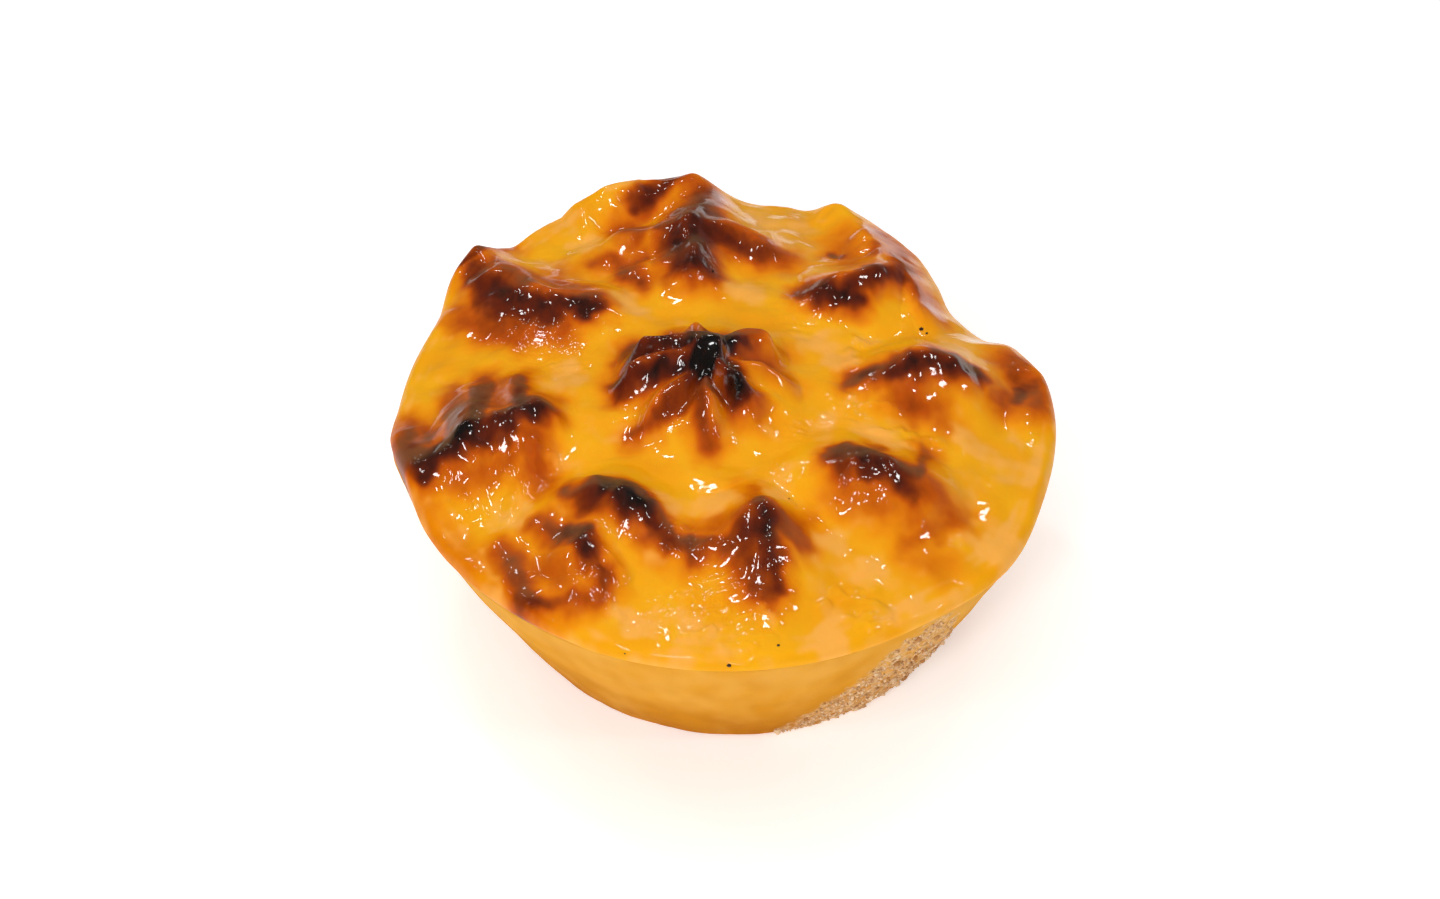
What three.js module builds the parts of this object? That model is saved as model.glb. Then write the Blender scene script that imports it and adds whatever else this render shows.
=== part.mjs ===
// A coconut custard tart, 8 cm across: a thin shortcrust cup filled with coconut custard,
// which is piped over the top as a star in the middle and eight shells round the rim.
// Millimetres, +Z up. The tart stands on Z = 0 and is centred on the Z axis.
import * as THREE from "three";

// Custard top: a low dome that carries the piped shapes and rolls over the crust's edge
const EDGE_RADIUS = 39;
const EDGE_HEIGHT = 27;
const DOME_RISE = 6;
const LIP_RADIUS = 1.2;

// Where the edge swings out of the round: [bearing in degrees, outwards, spread in degrees]
const EDGE_SWINGS = [
  [3, 1.2, 20], [34, -4.8, 12], [76, 1.2, 12], [103, 1.3, 12],
  [121, 1.6, 12], [145, 1.8, 7], [187, 0.8, 7], [327, 1.2, 14],
];

// The low notch in the edge at the right: depth, bearing, spread, and where it starts and ends
const NOTCH = { depth: 3.6, bearing: 31, spread: 11, inner: 22, outer: 38 };

// Crust: a cup that leans a little, because the tart was pressed out of its tin by hand
const CRUST_HEIGHT = 25.4;
const RIM_DROP = 1.6;
const CRUST_WALL = 2.4;
const CRUST_FLOOR = 2.6;
const BASE_RADIUS = 27.3;
const FOOT_RADIUS = 2;
const WALL_BULGE = 0.4;
const BASE_SHIFT = 1.6;
const CRUST_INSET = 0.3;
const SIDE_INSET = 0.3;
const GAP = 0.3;

// Crest lines of the eight piped shells. A point is [radius, bearing in degrees, height above
// the dome]. The first line of a shell is its main crest, and the others are folds off it.
const SHELLS = {
  back: [
    [[18, 103, 1], [20.3, 102, 3.4], [23, 101, 3.3], [27.5, 99, 4.3], [33, 94, 3.6], [39.5, 97, 4.4]],
    [[27.8, 101, 2.8], [28.6, 107, 3.2], [29.5, 114, 2.6], [29, 124, 0.8]],
    [[27.3, 96, 2.8], [27.2, 90, 3.2], [26.8, 81, 2.4], [27, 71, 0.6]],
    [[21, 104, 2.4], [22.5, 118, 1.5], [23, 127, 0.4]],
  ],
  backRight: [
    [[18, 63, 0.8], [20, 52, 3], [23, 48, 3.8], [30.5, 44, 3.4], [30, 35, 2.2], [30.5, 29, 0.6]],
    [[30.5, 47, 3], [36, 60, 2.6], [39.5, 68, 2.6]],
  ],
  right: [
    [[14.5, 358, 0.6], [19, 4, 2.2], [23.5, 9, 3.8], [27, 9, 3.4], [31, 9, 1.4]],
    [[36, 18, 1.6], [38.5, 10, 1.8], [38.5, 0, 1]],
  ],
  frontRight: [
    [[18.8, 314, 3], [20.5, 318, 3.8], [24, 323, 3.7], [28, 326, 2.4], [32, 326, 0.7]],
  ],
  front: [
    [[17, 281, 0.5], [22.5, 281, 3.6], [27.5, 281, 3], [31, 282, 1]],
    [[23, 280, 3.2], [24.5, 270, 2], [26, 262, 1.5], [25, 254, 1.8]],
    [[23, 283, 3.2], [25.5, 293, 0.5]],
  ],
  frontLeft: [
    [[25, 231, 2], [23.8, 236, 3.6], [23.2, 241.5, 4.4], [23.5, 247, 3.3], [24.4, 252, 1.2]],
    [[24, 241, 3.4], [27, 239, 1.9], [30, 238.5, 2.9], [32.5, 244, 1.6], [36, 241, 1.3], [38, 235, 1]],
    [[24, 234, 3.2], [26, 224, 1.5], [29.5, 226, 1.2]],
    [[35, 223, 1.3], [36.5, 230, 1.4], [38, 235, 1]],
  ],
  left: [
    [[20.5, 196, 1.8], [22.5, 195, 3.7], [26.5, 197, 3.1], [30.5, 195, 3.5], [35, 198, 3.2], [39, 197, 2.4]],
    [[26.5, 197, 3.2], [24.5, 181, 2.2]],
    [[30.5, 195, 3.2], [30, 180, 1.6]],
    [[39, 197, 2.4], [39.5, 188, 2.2]],
  ],
  backLeft: [
    [[18.5, 142, 1.2], [21, 141, 2.8], [25, 147, 3.1], [30, 147, 3.3], [36, 143, 3.7], [40.5, 142, 3.6]],
    [[35, 147, 3], [35, 153, 1.3], [36, 157, 0.4]],
    [[40, 136, 3], [40.5, 141, 4.2], [41, 146, 2.2]],
  ],
};
const CREST = { width: 7.2, roundness: 1.5 };
const FOLD = { width: 5.4, roundness: 1.2 };
const FOLD_BLEND = 2.6;

// Where the custard stands up along the edge, between the back and the back left shells
const RIM_LINES = [
  [[39.5, 95, 3], [40, 106, 5], [40.5, 114, 4.9], [40.8, 121, 2], [41, 132, 1.6], [41, 142, 1.8]],
];
const RIM = { width: 7, roundness: 2 };

// The broad swell under each shell: [radius, bearing in degrees, reach, rise]
const SWELLS = [
  [27, 99, 11, 1.2], [26, 46, 10, 1.4], [26, 8, 10, 1.3], [25, 322, 9.5, 1.4],
  [26, 280, 10, 1.2], [27, 238, 11, 1.4], [28, 196, 11, 1.4], [29, 145, 11, 1.2],
];

// The star in the middle: a swell, a blunt crown and eight petals. A petal is
// [bearing in degrees, height at its start, shoulder radius, shoulder height, end radius, width].
const STAR = { radius: 2.1, bearing: 190, rise: 2.6, reach: 13.5, peak: 5.4, crown: 1.5, crownBearing: 10 };
const STAR_PETALS = [
  [188, 4, 8, 3.8, 12, 3.4], [163, 4.6, 7.5, 5, 11, 3.4], [226, 2.8, 6.5, 2.7, 11.8, 2.1],
  [268, 2.2, 6, 2.7, 10.8, 2.2], [320, 3.8, 5.5, 4.2, 9.5, 3], [357, 2.6, 6.5, 2.8, 11.5, 3.2],
  [34, 4.2, 7.5, 4.2, 10.5, 3.6], [100, 3, 6, 3.2, 10, 3.6],
];
const CROWN = { width: 2.6, roundness: 1.8 };
const PETAL_ROUNDNESS = 0.8;
const PETAL_START = 2.5;
const PETAL_BLEND = 5;

// The hand's wobble, which bends every crest: [amplitude, wave in x, wave in y, phase] for x and y
const WOBBLE_X = [[0.56, 0.55, 0.31, 1.3], [0.3, -0.42, 0.83, 4.1], [0.1, 1.25, -0.7, 0.4]];
const WOBBLE_Y = [[0.56, -0.36, 0.57, 2.6], [0.3, 0.88, 0.33, 0.7], [0.1, 0.62, 1.31, 5.2]];

// How finely the solids are faceted
const TOP_RINGS = 33;
const LIP_STEPS = 3;
const FILLING_COLUMNS = 68;
const CRUST_COLUMNS = 96;
const WALL_STEPS = 7;
const FOOT_STEPS = 3;

const toRadians = THREE.MathUtils.degToRad;

function polar(radius, bearing) {
  return [radius * Math.cos(toRadians(bearing)), radius * Math.sin(toRadians(bearing))];
}

function bearingGap(a, b) {
  return THREE.MathUtils.euclideanModulo(a - b + 180, 360) - 180;
}

function bell(distance, spread) {
  return Math.exp(-((distance / spread) ** 2));
}

function edgeRadius(bearing) {
  const swings = EDGE_SWINGS.map(([at, out, spread]) => out * bell(bearingGap(bearing, at), spread));
  return swings.reduce((sum, swing) => sum + swing, EDGE_RADIUS);
}

function wobble(x, y, waves) {
  return waves.reduce((sum, [size, kx, ky, phase]) => sum + size * Math.sin(kx * x + ky * y + phase), 0);
}

// Height of one rounded crest line, whose points are [x, y, height]
function crestHeight(x, y, line, width, roundness) {
  let height = 0;
  for (let i = 0; i + 1 < line.length; i += 1) {
    const [ax, ay, ah] = line[i];
    const [bx, by, bh] = line[i + 1];
    const [dx, dy] = [bx - ax, by - ay];
    const along = THREE.MathUtils.clamp(((x - ax) * dx + (y - ay) * dy) / (dx * dx + dy * dy), 0, 1);
    const away = Math.hypot(x - ax - along * dx, y - ay - along * dy);
    const fall = (Math.hypot(away, roundness) - roundness) / width;
    height = Math.max(height, (ah + (bh - ah) * along) * Math.max(0, 1 - fall) ** 2);
  }
  return height;
}

function swellHeight(x, y, centre, reach, rise) {
  const share = ((x - centre[0]) ** 2 + (y - centre[1]) ** 2) / reach ** 2;
  return rise * Math.max(0, 1 - share) ** 2;
}

// Several heights melted into one: the larger the power, the sharper the valleys between them
function melt(heights, power) {
  return heights.reduce((sum, height) => sum + height ** power, 0) ** (1 / power);
}

function placed(line, shape) {
  return { line: line.map(([radius, bearing, height]) => [...polar(radius, bearing), height]), ...shape };
}

function shellLines() {
  const shells = Object.values(SHELLS).flatMap(([crest, ...folds]) =>
    [placed(crest, CREST), ...folds.map((fold) => placed(fold, FOLD))]);
  return [...shells, ...RIM_LINES.map((line) => placed(line, RIM))];
}

function starLines() {
  const centre = polar(STAR.radius, STAR.bearing);
  const from = (radius, bearing, height) => {
    const [x, y] = polar(radius, bearing);
    return [centre[0] + x, centre[1] + y, height];
  };
  const petals = STAR_PETALS.map(([bearing, start, shoulder, height, end, width]) => ({
    line: [from(PETAL_START, bearing, start), from(shoulder, bearing, height), from(end, bearing, 0)],
    width,
    roundness: PETAL_ROUNDNESS,
  }));
  const crownEnd = (side) => from(side * STAR.crown, STAR.crownBearing, STAR.peak);
  return [...petals, { line: [crownEnd(-1), crownEnd(1)], ...CROWN }];
}

const SHELL_LINES = shellLines();
const STAR_LINES = starLines();

function pipedHeight(x, y) {
  const px = x + wobble(x, y, WOBBLE_X);
  const py = y + wobble(x, y, WOBBLE_Y);
  const rise = ({ line, width, roundness }) => crestHeight(px, py, line, width, roundness);
  const star = melt(STAR_LINES.map(rise), PETAL_BLEND);
  const piped = melt([...SHELL_LINES.map(rise), star], FOLD_BLEND);
  const starSwell = swellHeight(x, y, polar(STAR.radius, STAR.bearing), STAR.reach, STAR.rise);
  return SWELLS.reduce(
    (sum, [radius, bearing, reach, up]) => sum + swellHeight(x, y, polar(radius, bearing), reach, up),
    piped + starSwell);
}

function notchDepth(radius, bearing) {
  const share = THREE.MathUtils.clamp((radius - NOTCH.inner) / (NOTCH.outer - NOTCH.inner), 0, 1);
  return NOTCH.depth * bell(bearingGap(bearing, NOTCH.bearing), NOTCH.spread) * share ** 2;
}

function topHeight(radius, bearing) {
  const [x, y] = polar(radius, bearing);
  const dome = DOME_RISE * (1 - (radius / EDGE_RADIUS) ** 2);
  return EDGE_HEIGHT + dome + pipedHeight(x, y) - notchDepth(radius, bearing);
}

// The crust's rim, lower where the custard's edge is low
function rimHeight(bearing) {
  return Math.min(CRUST_HEIGHT, topHeight(edgeRadius(bearing), bearing) - RIM_DROP);
}

function ring(count, place) {
  return Array.from({ length: count }, (_, i) => place((i * 360) / count));
}

function pointAt(radius, bearing, height, shift = 0) {
  const [x, y] = polar(radius, bearing);
  return [x + shift, y, height];
}

function topRing(step) {
  return ring(6 * step, (bearing) => {
    const radius = (edgeRadius(bearing) - LIP_RADIUS) * (step / TOP_RINGS);
    return pointAt(radius, bearing, topHeight(radius, bearing));
  });
}

// The lip rolls the top over the edge as a quarter round
function lipRing(step) {
  const turn = (step / LIP_STEPS) * (Math.PI / 2);
  return ring(6 * TOP_RINGS, (bearing) => {
    const radius = edgeRadius(bearing) - LIP_RADIUS * (1 - Math.sin(turn));
    return pointAt(radius, bearing, topHeight(radius, bearing) - LIP_RADIUS * (1 - Math.cos(turn)));
  });
}

// The crust's wall at a height: its radius, its round foot and its lean
function wallRadius(bearing, height) {
  const share = 1 - height / CRUST_HEIGHT;
  const top = edgeRadius(bearing) - CRUST_INSET;
  return top + (BASE_RADIUS - top) * share + WALL_BULGE * Math.sin(Math.PI * share);
}

function footInset(height) {
  const share = Math.max(0, 1 - height / FOOT_RADIUS);
  return FOOT_RADIUS * (1 - Math.sqrt(1 - share * share));
}

function wallShift(height) {
  return BASE_SHIFT * (1 - height / CRUST_HEIGHT);
}

function wallPoint(bearing, height, inset, lift = 0) {
  return pointAt(wallRadius(bearing, height) - inset, bearing, height + lift, wallShift(height));
}

function wallRing(count, height, inset) {
  return ring(count, (bearing) => wallPoint(bearing, height, inset));
}

function footRing(step) {
  const height = FOOT_RADIUS * (1 - Math.sin((step / FOOT_STEPS) * (Math.PI / 2)));
  return wallRing(CRUST_COLUMNS, height, footInset(height));
}

// Joins neighbouring rings, from one end point to the other, into one closed skin
function skin(rings) {
  const positions = rings.flat(2);
  const triangles = [];
  let start = 0;
  for (let r = 0; r + 1 < rings.length; r += 1) {
    const [inner, outer] = [rings[r].length, rings[r + 1].length];
    const innerAt = (i) => start + (i % inner);
    const outerAt = (j) => start + inner + (j % outer);
    let i = 0;
    let j = 0;
    while (i < inner || j < outer) {
      const outerNext = i >= inner || (j < outer && (j + 1) * inner <= (i + 1) * outer);
      if (outerNext && outer > 1) triangles.push(innerAt(i), outerAt(j), outerAt(j + 1));
      if (!outerNext && inner > 1) triangles.push(innerAt(i), outerAt(j), innerAt(i + 1));
      if (outerNext) j += 1;
      else i += 1;
    }
    start += inner;
  }
  const geometry = new THREE.BufferGeometry();
  geometry.setAttribute("position", new THREE.Float32BufferAttribute(positions, 3));
  geometry.setIndex(triangles);
  geometry.computeVertexNormals();
  return geometry;
}

function custardGeometry() {
  const bottom = CRUST_FLOOR + GAP;
  const inset = CRUST_WALL + GAP;
  const rings = [[pointAt(0, 0, topHeight(0, 0))]];
  for (let step = 1; step <= TOP_RINGS; step += 1) rings.push(topRing(step));
  for (let step = 1; step <= LIP_STEPS; step += 1) rings.push(lipRing(step));
  rings.push(ring(6 * TOP_RINGS, (bearing) =>
    pointAt(edgeRadius(bearing) - SIDE_INSET, bearing, rimHeight(bearing) + GAP)));
  rings.push(ring(FILLING_COLUMNS, (bearing) => wallPoint(bearing, rimHeight(bearing), inset, GAP)));
  rings.push(wallRing(FILLING_COLUMNS, CRUST_HEIGHT / 2, inset));
  rings.push(wallRing(FILLING_COLUMNS, bottom, inset));
  rings.push([pointAt(0, 0, bottom, wallShift(bottom))]);
  return skin(rings);
}

function crustGeometry() {
  const rings = [[pointAt(0, 0, CRUST_FLOOR, wallShift(CRUST_FLOOR))]];
  rings.push(wallRing(CRUST_COLUMNS, CRUST_FLOOR, CRUST_WALL));
  rings.push(wallRing(CRUST_COLUMNS, CRUST_HEIGHT / 2, CRUST_WALL));
  rings.push(ring(CRUST_COLUMNS, (bearing) => wallPoint(bearing, rimHeight(bearing), CRUST_WALL)));
  for (let step = 0; step < WALL_STEPS; step += 1) {
    const share = 1 - step / WALL_STEPS;
    rings.push(ring(CRUST_COLUMNS, (bearing) =>
      wallPoint(bearing, FOOT_RADIUS + (rimHeight(bearing) - FOOT_RADIUS) * share, 0)));
  }
  for (let step = 0; step <= FOOT_STEPS; step += 1) rings.push(footRing(step));
  rings.push([pointAt(0, 0, 0, wallShift(0))]);
  return skin(rings);
}

const custardMaterial = new THREE.MeshStandardMaterial({ color: "#f2a02c", roughness: 0.3, metalness: 0 });
const crustMaterial = new THREE.MeshStandardMaterial({ color: "#dfa54a", roughness: 0.7, metalness: 0 });

function named(name, geometry, material) {
  const mesh = new THREE.Mesh(geometry, material);
  mesh.name = name;
  return mesh;
}

const tart = new THREE.Group();
tart.add(named("crust", crustGeometry(), crustMaterial));
tart.add(named("custard", custardGeometry(), custardMaterial));

// The edge swings out further at the back, so the tart is moved to stand centred on the axis
const middle = new THREE.Box3().setFromObject(tart).getCenter(new THREE.Vector3());
tart.position.set(-middle.x, -middle.y, 0);
tart.updateMatrixWorld(true);

export default tart;
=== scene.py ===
# %% [markdown]
# # A coconut custard tart
#
# A single tart, 8 cm across: a thin shortcrust cup, filled with coconut custard that is piped over
# the top as a star inside a ring of eight shells, glazed, and browned under a hot grill.
# The CAD model already has the two solids, crust and custard, at their real size. This lesson keeps
# their form, adds the fine relief that a faceted solid can't hold, and gives them their finish.

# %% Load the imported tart
import math

import bpy
import numpy as np
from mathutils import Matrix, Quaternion, Vector


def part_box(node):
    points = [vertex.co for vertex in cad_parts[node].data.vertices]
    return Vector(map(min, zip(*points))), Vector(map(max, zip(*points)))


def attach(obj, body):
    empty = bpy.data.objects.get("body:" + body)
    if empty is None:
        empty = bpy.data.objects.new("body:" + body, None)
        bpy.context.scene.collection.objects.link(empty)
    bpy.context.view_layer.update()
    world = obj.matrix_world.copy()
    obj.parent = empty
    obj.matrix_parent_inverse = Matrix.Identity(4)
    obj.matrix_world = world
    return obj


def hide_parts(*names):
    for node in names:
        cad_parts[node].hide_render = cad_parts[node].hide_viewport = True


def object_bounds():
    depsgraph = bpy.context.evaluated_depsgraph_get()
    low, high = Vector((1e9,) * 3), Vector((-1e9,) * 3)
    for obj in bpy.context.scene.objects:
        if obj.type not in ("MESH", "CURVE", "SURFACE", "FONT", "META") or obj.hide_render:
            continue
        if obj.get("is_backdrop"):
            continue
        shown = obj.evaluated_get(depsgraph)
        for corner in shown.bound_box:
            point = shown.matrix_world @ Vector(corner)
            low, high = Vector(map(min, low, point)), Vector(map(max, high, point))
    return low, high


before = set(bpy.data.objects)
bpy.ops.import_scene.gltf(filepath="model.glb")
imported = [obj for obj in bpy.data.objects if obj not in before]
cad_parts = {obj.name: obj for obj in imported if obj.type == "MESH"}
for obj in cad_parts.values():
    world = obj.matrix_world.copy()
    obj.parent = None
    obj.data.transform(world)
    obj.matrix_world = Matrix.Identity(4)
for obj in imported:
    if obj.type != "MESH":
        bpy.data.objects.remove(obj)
cad_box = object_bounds()

# %% [markdown]
# ## Units and colours
#
# A baker thinks in millimetres, so the shapes below are in millimetres and are turned to metres
# when they become a mesh. Colours are picked as sRGB hex values, as on a paint card, but a renderer
# adds light up in linear values. One function turns the first into the second.

# %% Millimetres and linear colour
MM = 0.001


def linear(hex_colour):
    """An sRGB hex colour as the linear RGBA that a shader takes"""
    shares = [int(hex_colour[i:i + 2], 16) / 255 for i in (1, 3, 5)]
    return [s / 12.92 if s <= 0.04045 else ((s + 0.055) / 1.055) ** 2.4 for s in shares] + [1.0]


# %% [markdown]
# ## The camera
#
# The tart is seen from half above, as by someone who stands at the counter. A lens of 85 mm from
# 42 cm away keeps the near side from swelling. The photographer held the camera a degree off level.
# Pointing the camera at a target, and then rolling it about its own axis, keeps each of these facts
# a value of its own, where a matrix would hide them.

# %% Camera
LENS = 85
SENSOR_WIDTH = 36
CAMERA_DISTANCE = 420
CAMERA_ELEVATION = math.radians(45.5)
CAMERA_ROLL = math.radians(1.0)
CAMERA_TARGET = Vector((-0.5, 5.0, 16.2))

camera = bpy.data.objects.new("camera", bpy.data.cameras.new("camera"))
bpy.context.collection.objects.link(camera)
bpy.context.scene.camera = camera
camera.data.lens = LENS
camera.data.sensor_width = SENSOR_WIDTH
backwards = Vector((0, -math.cos(CAMERA_ELEVATION), math.sin(CAMERA_ELEVATION)))
camera.location = (CAMERA_TARGET + CAMERA_DISTANCE * backwards) * MM
camera.rotation_mode = "QUATERNION"
camera.rotation_quaternion = (-backwards).to_track_quat("-Z", "Y") @ Quaternion((0, 0, 1), CAMERA_ROLL)
print("camera at", [round(c, 3) for c in camera.location])

# %% [markdown]
# ## Adding nodes
#
# Every finish below is a small graph of shader nodes. The graph could be drawn by hand in the
# editor, but here one helper adds a node, sets its properties, and either fills or links its
# inputs, so that each material reads from top to bottom like a recipe.

# %% A helper for shader nodes


def add_node(tree, kind, settings=None, inputs=None):
    """Adds a node, sets its properties, and fills or links its inputs"""
    node = tree.nodes.new(kind)
    for name, value in (settings or {}).items():
        setattr(node, name, value)
    for name, value in (inputs or {}).items():
        socket = node.inputs[name]
        if isinstance(value, bpy.types.NodeSocket):
            tree.links.new(value, socket)
        else:
            socket.default_value = value
    return node


def new_material(name):
    """An empty material, with its tree and its output"""
    material = bpy.data.materials.new(name)
    material.use_nodes = True
    material.node_tree.nodes.clear()
    output = material.node_tree.nodes.new("ShaderNodeOutputMaterial")
    return material, material.node_tree, output


# %% [markdown]
# ## Floor and light
#
# The tart lies on a plain pale table of matt card, which glows faintly, so that it stays near white
# in the tart's own shade. A large soft box overhead gives an even light without hard shadows, and a
# second one at the front opens up the crust's wall, which leans under the rim. They are too large
# to mirror sharply in a glaze, so they are hidden from reflections. What does mirror in it is a
# handful of small bright spots in the ceiling, each where some slope of the shells turns it towards
# the viewer: they make the sparkle that says "glazed". The room is dim, with one paler wall that
# lays a grey sheen on slopes seen at a grazing angle.

# %% Floor
FLOOR_SIDE = 4000
floor_mesh = bpy.data.meshes.new("floor")
floor_half = FLOOR_SIDE / 2 * MM
floor_z = cad_box[0][2]
floor_mesh.from_pydata(
    [(-floor_half, -floor_half, floor_z), (floor_half, -floor_half, floor_z),
     (floor_half, floor_half, floor_z), (-floor_half, floor_half, floor_z)],
    [], [(0, 1, 2, 3)])
floor = bpy.data.objects.new("floor", floor_mesh)
bpy.context.collection.objects.link(floor)
floor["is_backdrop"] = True

CARD_GLOW = 0.34
card, tree, output = new_material("matt_white_card")
shader = add_node(tree, "ShaderNodeBsdfPrincipled", inputs={
    "Base Color": linear("#fbfbfb"), "Roughness": 0.9, "Specular IOR Level": 0.1,
    "Emission Color": linear("#ffffff"), "Emission Strength": CARD_GLOW})
tree.links.new(shader.outputs["BSDF"], output.inputs["Surface"])
floor_mesh.materials.append(card)
print("floor at", round(floor_z, 4), "m")

# %% Lamps


def add_lamp(name, place, size, watts):
    """A round lamp that shines at the tart"""
    lamp = bpy.data.lights.new(name, "AREA")
    lamp.shape = "DISK"
    lamp.size = size * MM
    lamp.energy = watts
    lamp_object = bpy.data.objects.new(name, lamp)
    lamp_object.location = Vector(place) * MM
    lamp_object.rotation_mode = "QUATERNION"
    lamp_object.rotation_quaternion = (-Vector(place)).to_track_quat("-Z", "Y")
    bpy.context.collection.objects.link(lamp_object)
    return lamp_object


# name: [place in mm, size in mm, watts]
SOFT_BOXES = {
    "overhead": [(0, 300, 860), 1300, 4.3],
    "front": [(-150, -640, 640), 700, 2.1],
}
for name, (place, size, watts) in SOFT_BOXES.items():
    add_lamp(name, place, size, watts).visible_glossy = False

# Spots of the ceiling: [degrees towards the viewer, degrees to the right, size in mm]
SPOTS = [
    [47, -14, 120], [37, -38, 70], [-17, -16, 80], [28, 47, 80], [51, 8, 75], [-12, -38, 48],
    [-31, -33, 50], [-24, 20, 46],
]
SPOT_DISTANCE = 700
SPOT_BRIGHTNESS = 75  # watts for each square metre of lamp
for number, (forward, right, size) in enumerate(SPOTS):
    forward, right = math.radians(forward), math.radians(right)
    place = [SPOT_DISTANCE * math.sin(right), -SPOT_DISTANCE * math.sin(forward) * math.cos(right),
             SPOT_DISTANCE * math.cos(forward) * math.cos(right)]
    watts = SPOT_BRIGHTNESS * math.pi * (size / 2 * MM) ** 2
    add_lamp(f"spot_{number}", place, size, watts)
print(len(SOFT_BOXES), "soft boxes and", len(SPOTS), "spots")

# %% Dim room with a paler wall
# The wall is at the right and behind the tart, up to head height
PALE_WALL = "#6e6e70"
DIM_ROOM = "#4b4a48"
WALL_DIRECTION = (0.9, 0.44, 0.0)
WALL_TOP = (0.62, 0.3)  # how steeply a direction points up where the wall begins, and where it is full
WALL_END = (0.15, 0.75)  # how nearly it points to the wall, likewise
world = bpy.data.worlds.new("pale_room")
bpy.context.scene.world = world
world.use_nodes = True
tree = world.node_tree
direction = add_node(tree, "ShaderNodeTexCoord").outputs["Generated"]
upwards = add_node(tree, "ShaderNodeSeparateXYZ", {}, {"Vector": direction}).outputs["Z"]
low = add_node(tree, "ShaderNodeMapRange", {"interpolation_type": "SMOOTHSTEP"}, {
    "Value": upwards, "From Min": WALL_TOP[0], "From Max": WALL_TOP[1]}).outputs["Result"]
towards_wall = add_node(tree, "ShaderNodeVectorMath", {"operation": "DOT_PRODUCT"}, {
    0: direction, 1: WALL_DIRECTION}).outputs["Value"]
facing = add_node(tree, "ShaderNodeMapRange", {"interpolation_type": "SMOOTHSTEP"}, {
    "Value": towards_wall, "From Min": WALL_END[0], "From Max": WALL_END[1]}).outputs["Result"]
on_wall = add_node(tree, "ShaderNodeMath", {"operation": "MULTIPLY"}, {0: low, 1: facing}).outputs["Value"]
room = add_node(tree, "ShaderNodeMix", {"data_type": "RGBA"}, {
    0: on_wall, 6: linear(DIM_ROOM), 7: linear(PALE_WALL)}).outputs[2]
tree.links.new(room, tree.nodes["Background"].inputs["Color"])
bpy.context.scene.view_settings.view_transform = "Standard"
print("the room is", DIM_ROOM, "and its wall", PALE_WALL)

# %% [markdown]
# ## The custard's edge
#
# The solids in the CAD model come from a few named sizes, and the same sizes are repeated here, so
# that the finely meshed tart has exactly the same form. They are polar, as a baker turns a tart: a
# radius from the middle, and a bearing in degrees from the right hand side.
# The edge is a circle that swings out where a shell was piped over it, and in at a dent.

# %% Edge of the tart
EDGE_RADIUS = 39
EDGE_HEIGHT = 27
DOME_RISE = 6
LIP_RADIUS = 1.2
# Where the edge swings out of the round: [bearing in degrees, outwards, spread in degrees]
EDGE_SWINGS = [
    [3, 1.2, 20], [34, -4.8, 12], [76, 1.2, 12], [103, 1.3, 12],
    [121, 1.6, 12], [145, 1.8, 7], [187, 0.8, 7], [327, 1.2, 14],
]
# The low notch in the edge at the right
NOTCH = {"depth": 3.6, "bearing": 31, "spread": 11, "inner": 22, "outer": 38}


def polar(radius, bearing):
    """x and y of a place given by its radius and its bearing in degrees"""
    return radius * np.cos(np.radians(bearing)), radius * np.sin(np.radians(bearing))


def bearing_gap(a, b):
    """The angle from b to a, from -180 to 180 degrees"""
    return (a - b + 180) % 360 - 180


def bell(distance, spread):
    """1 at no distance, fading to 0"""
    return np.exp(-(distance / spread) ** 2)


def edge_radius(bearing):
    """How far out the custard's edge lies"""
    return EDGE_RADIUS + sum(out * bell(bearing_gap(bearing, at), spread) for at, out, spread in EDGE_SWINGS)


edge = edge_radius(np.arange(360.0))
print("edge from", round(float(edge.min()), 1), "to", round(float(edge.max()), 1), "mm from the middle")

# %% [markdown]
# ## The piped shells
#
# A star nozzle leaves a shell with a rounded crest and a few folds running off it. Each crest is a
# short line with a height at each point. The custard stands highest on the line and falls away to
# both sides. Several such crests are melted together with a power mean, as soft custard does where
# two strokes of the bag meet: the larger the power, the sharper the valley between them.
# Sculpting by hand would also work, but lines with heights stay readable and can be moved.

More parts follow.
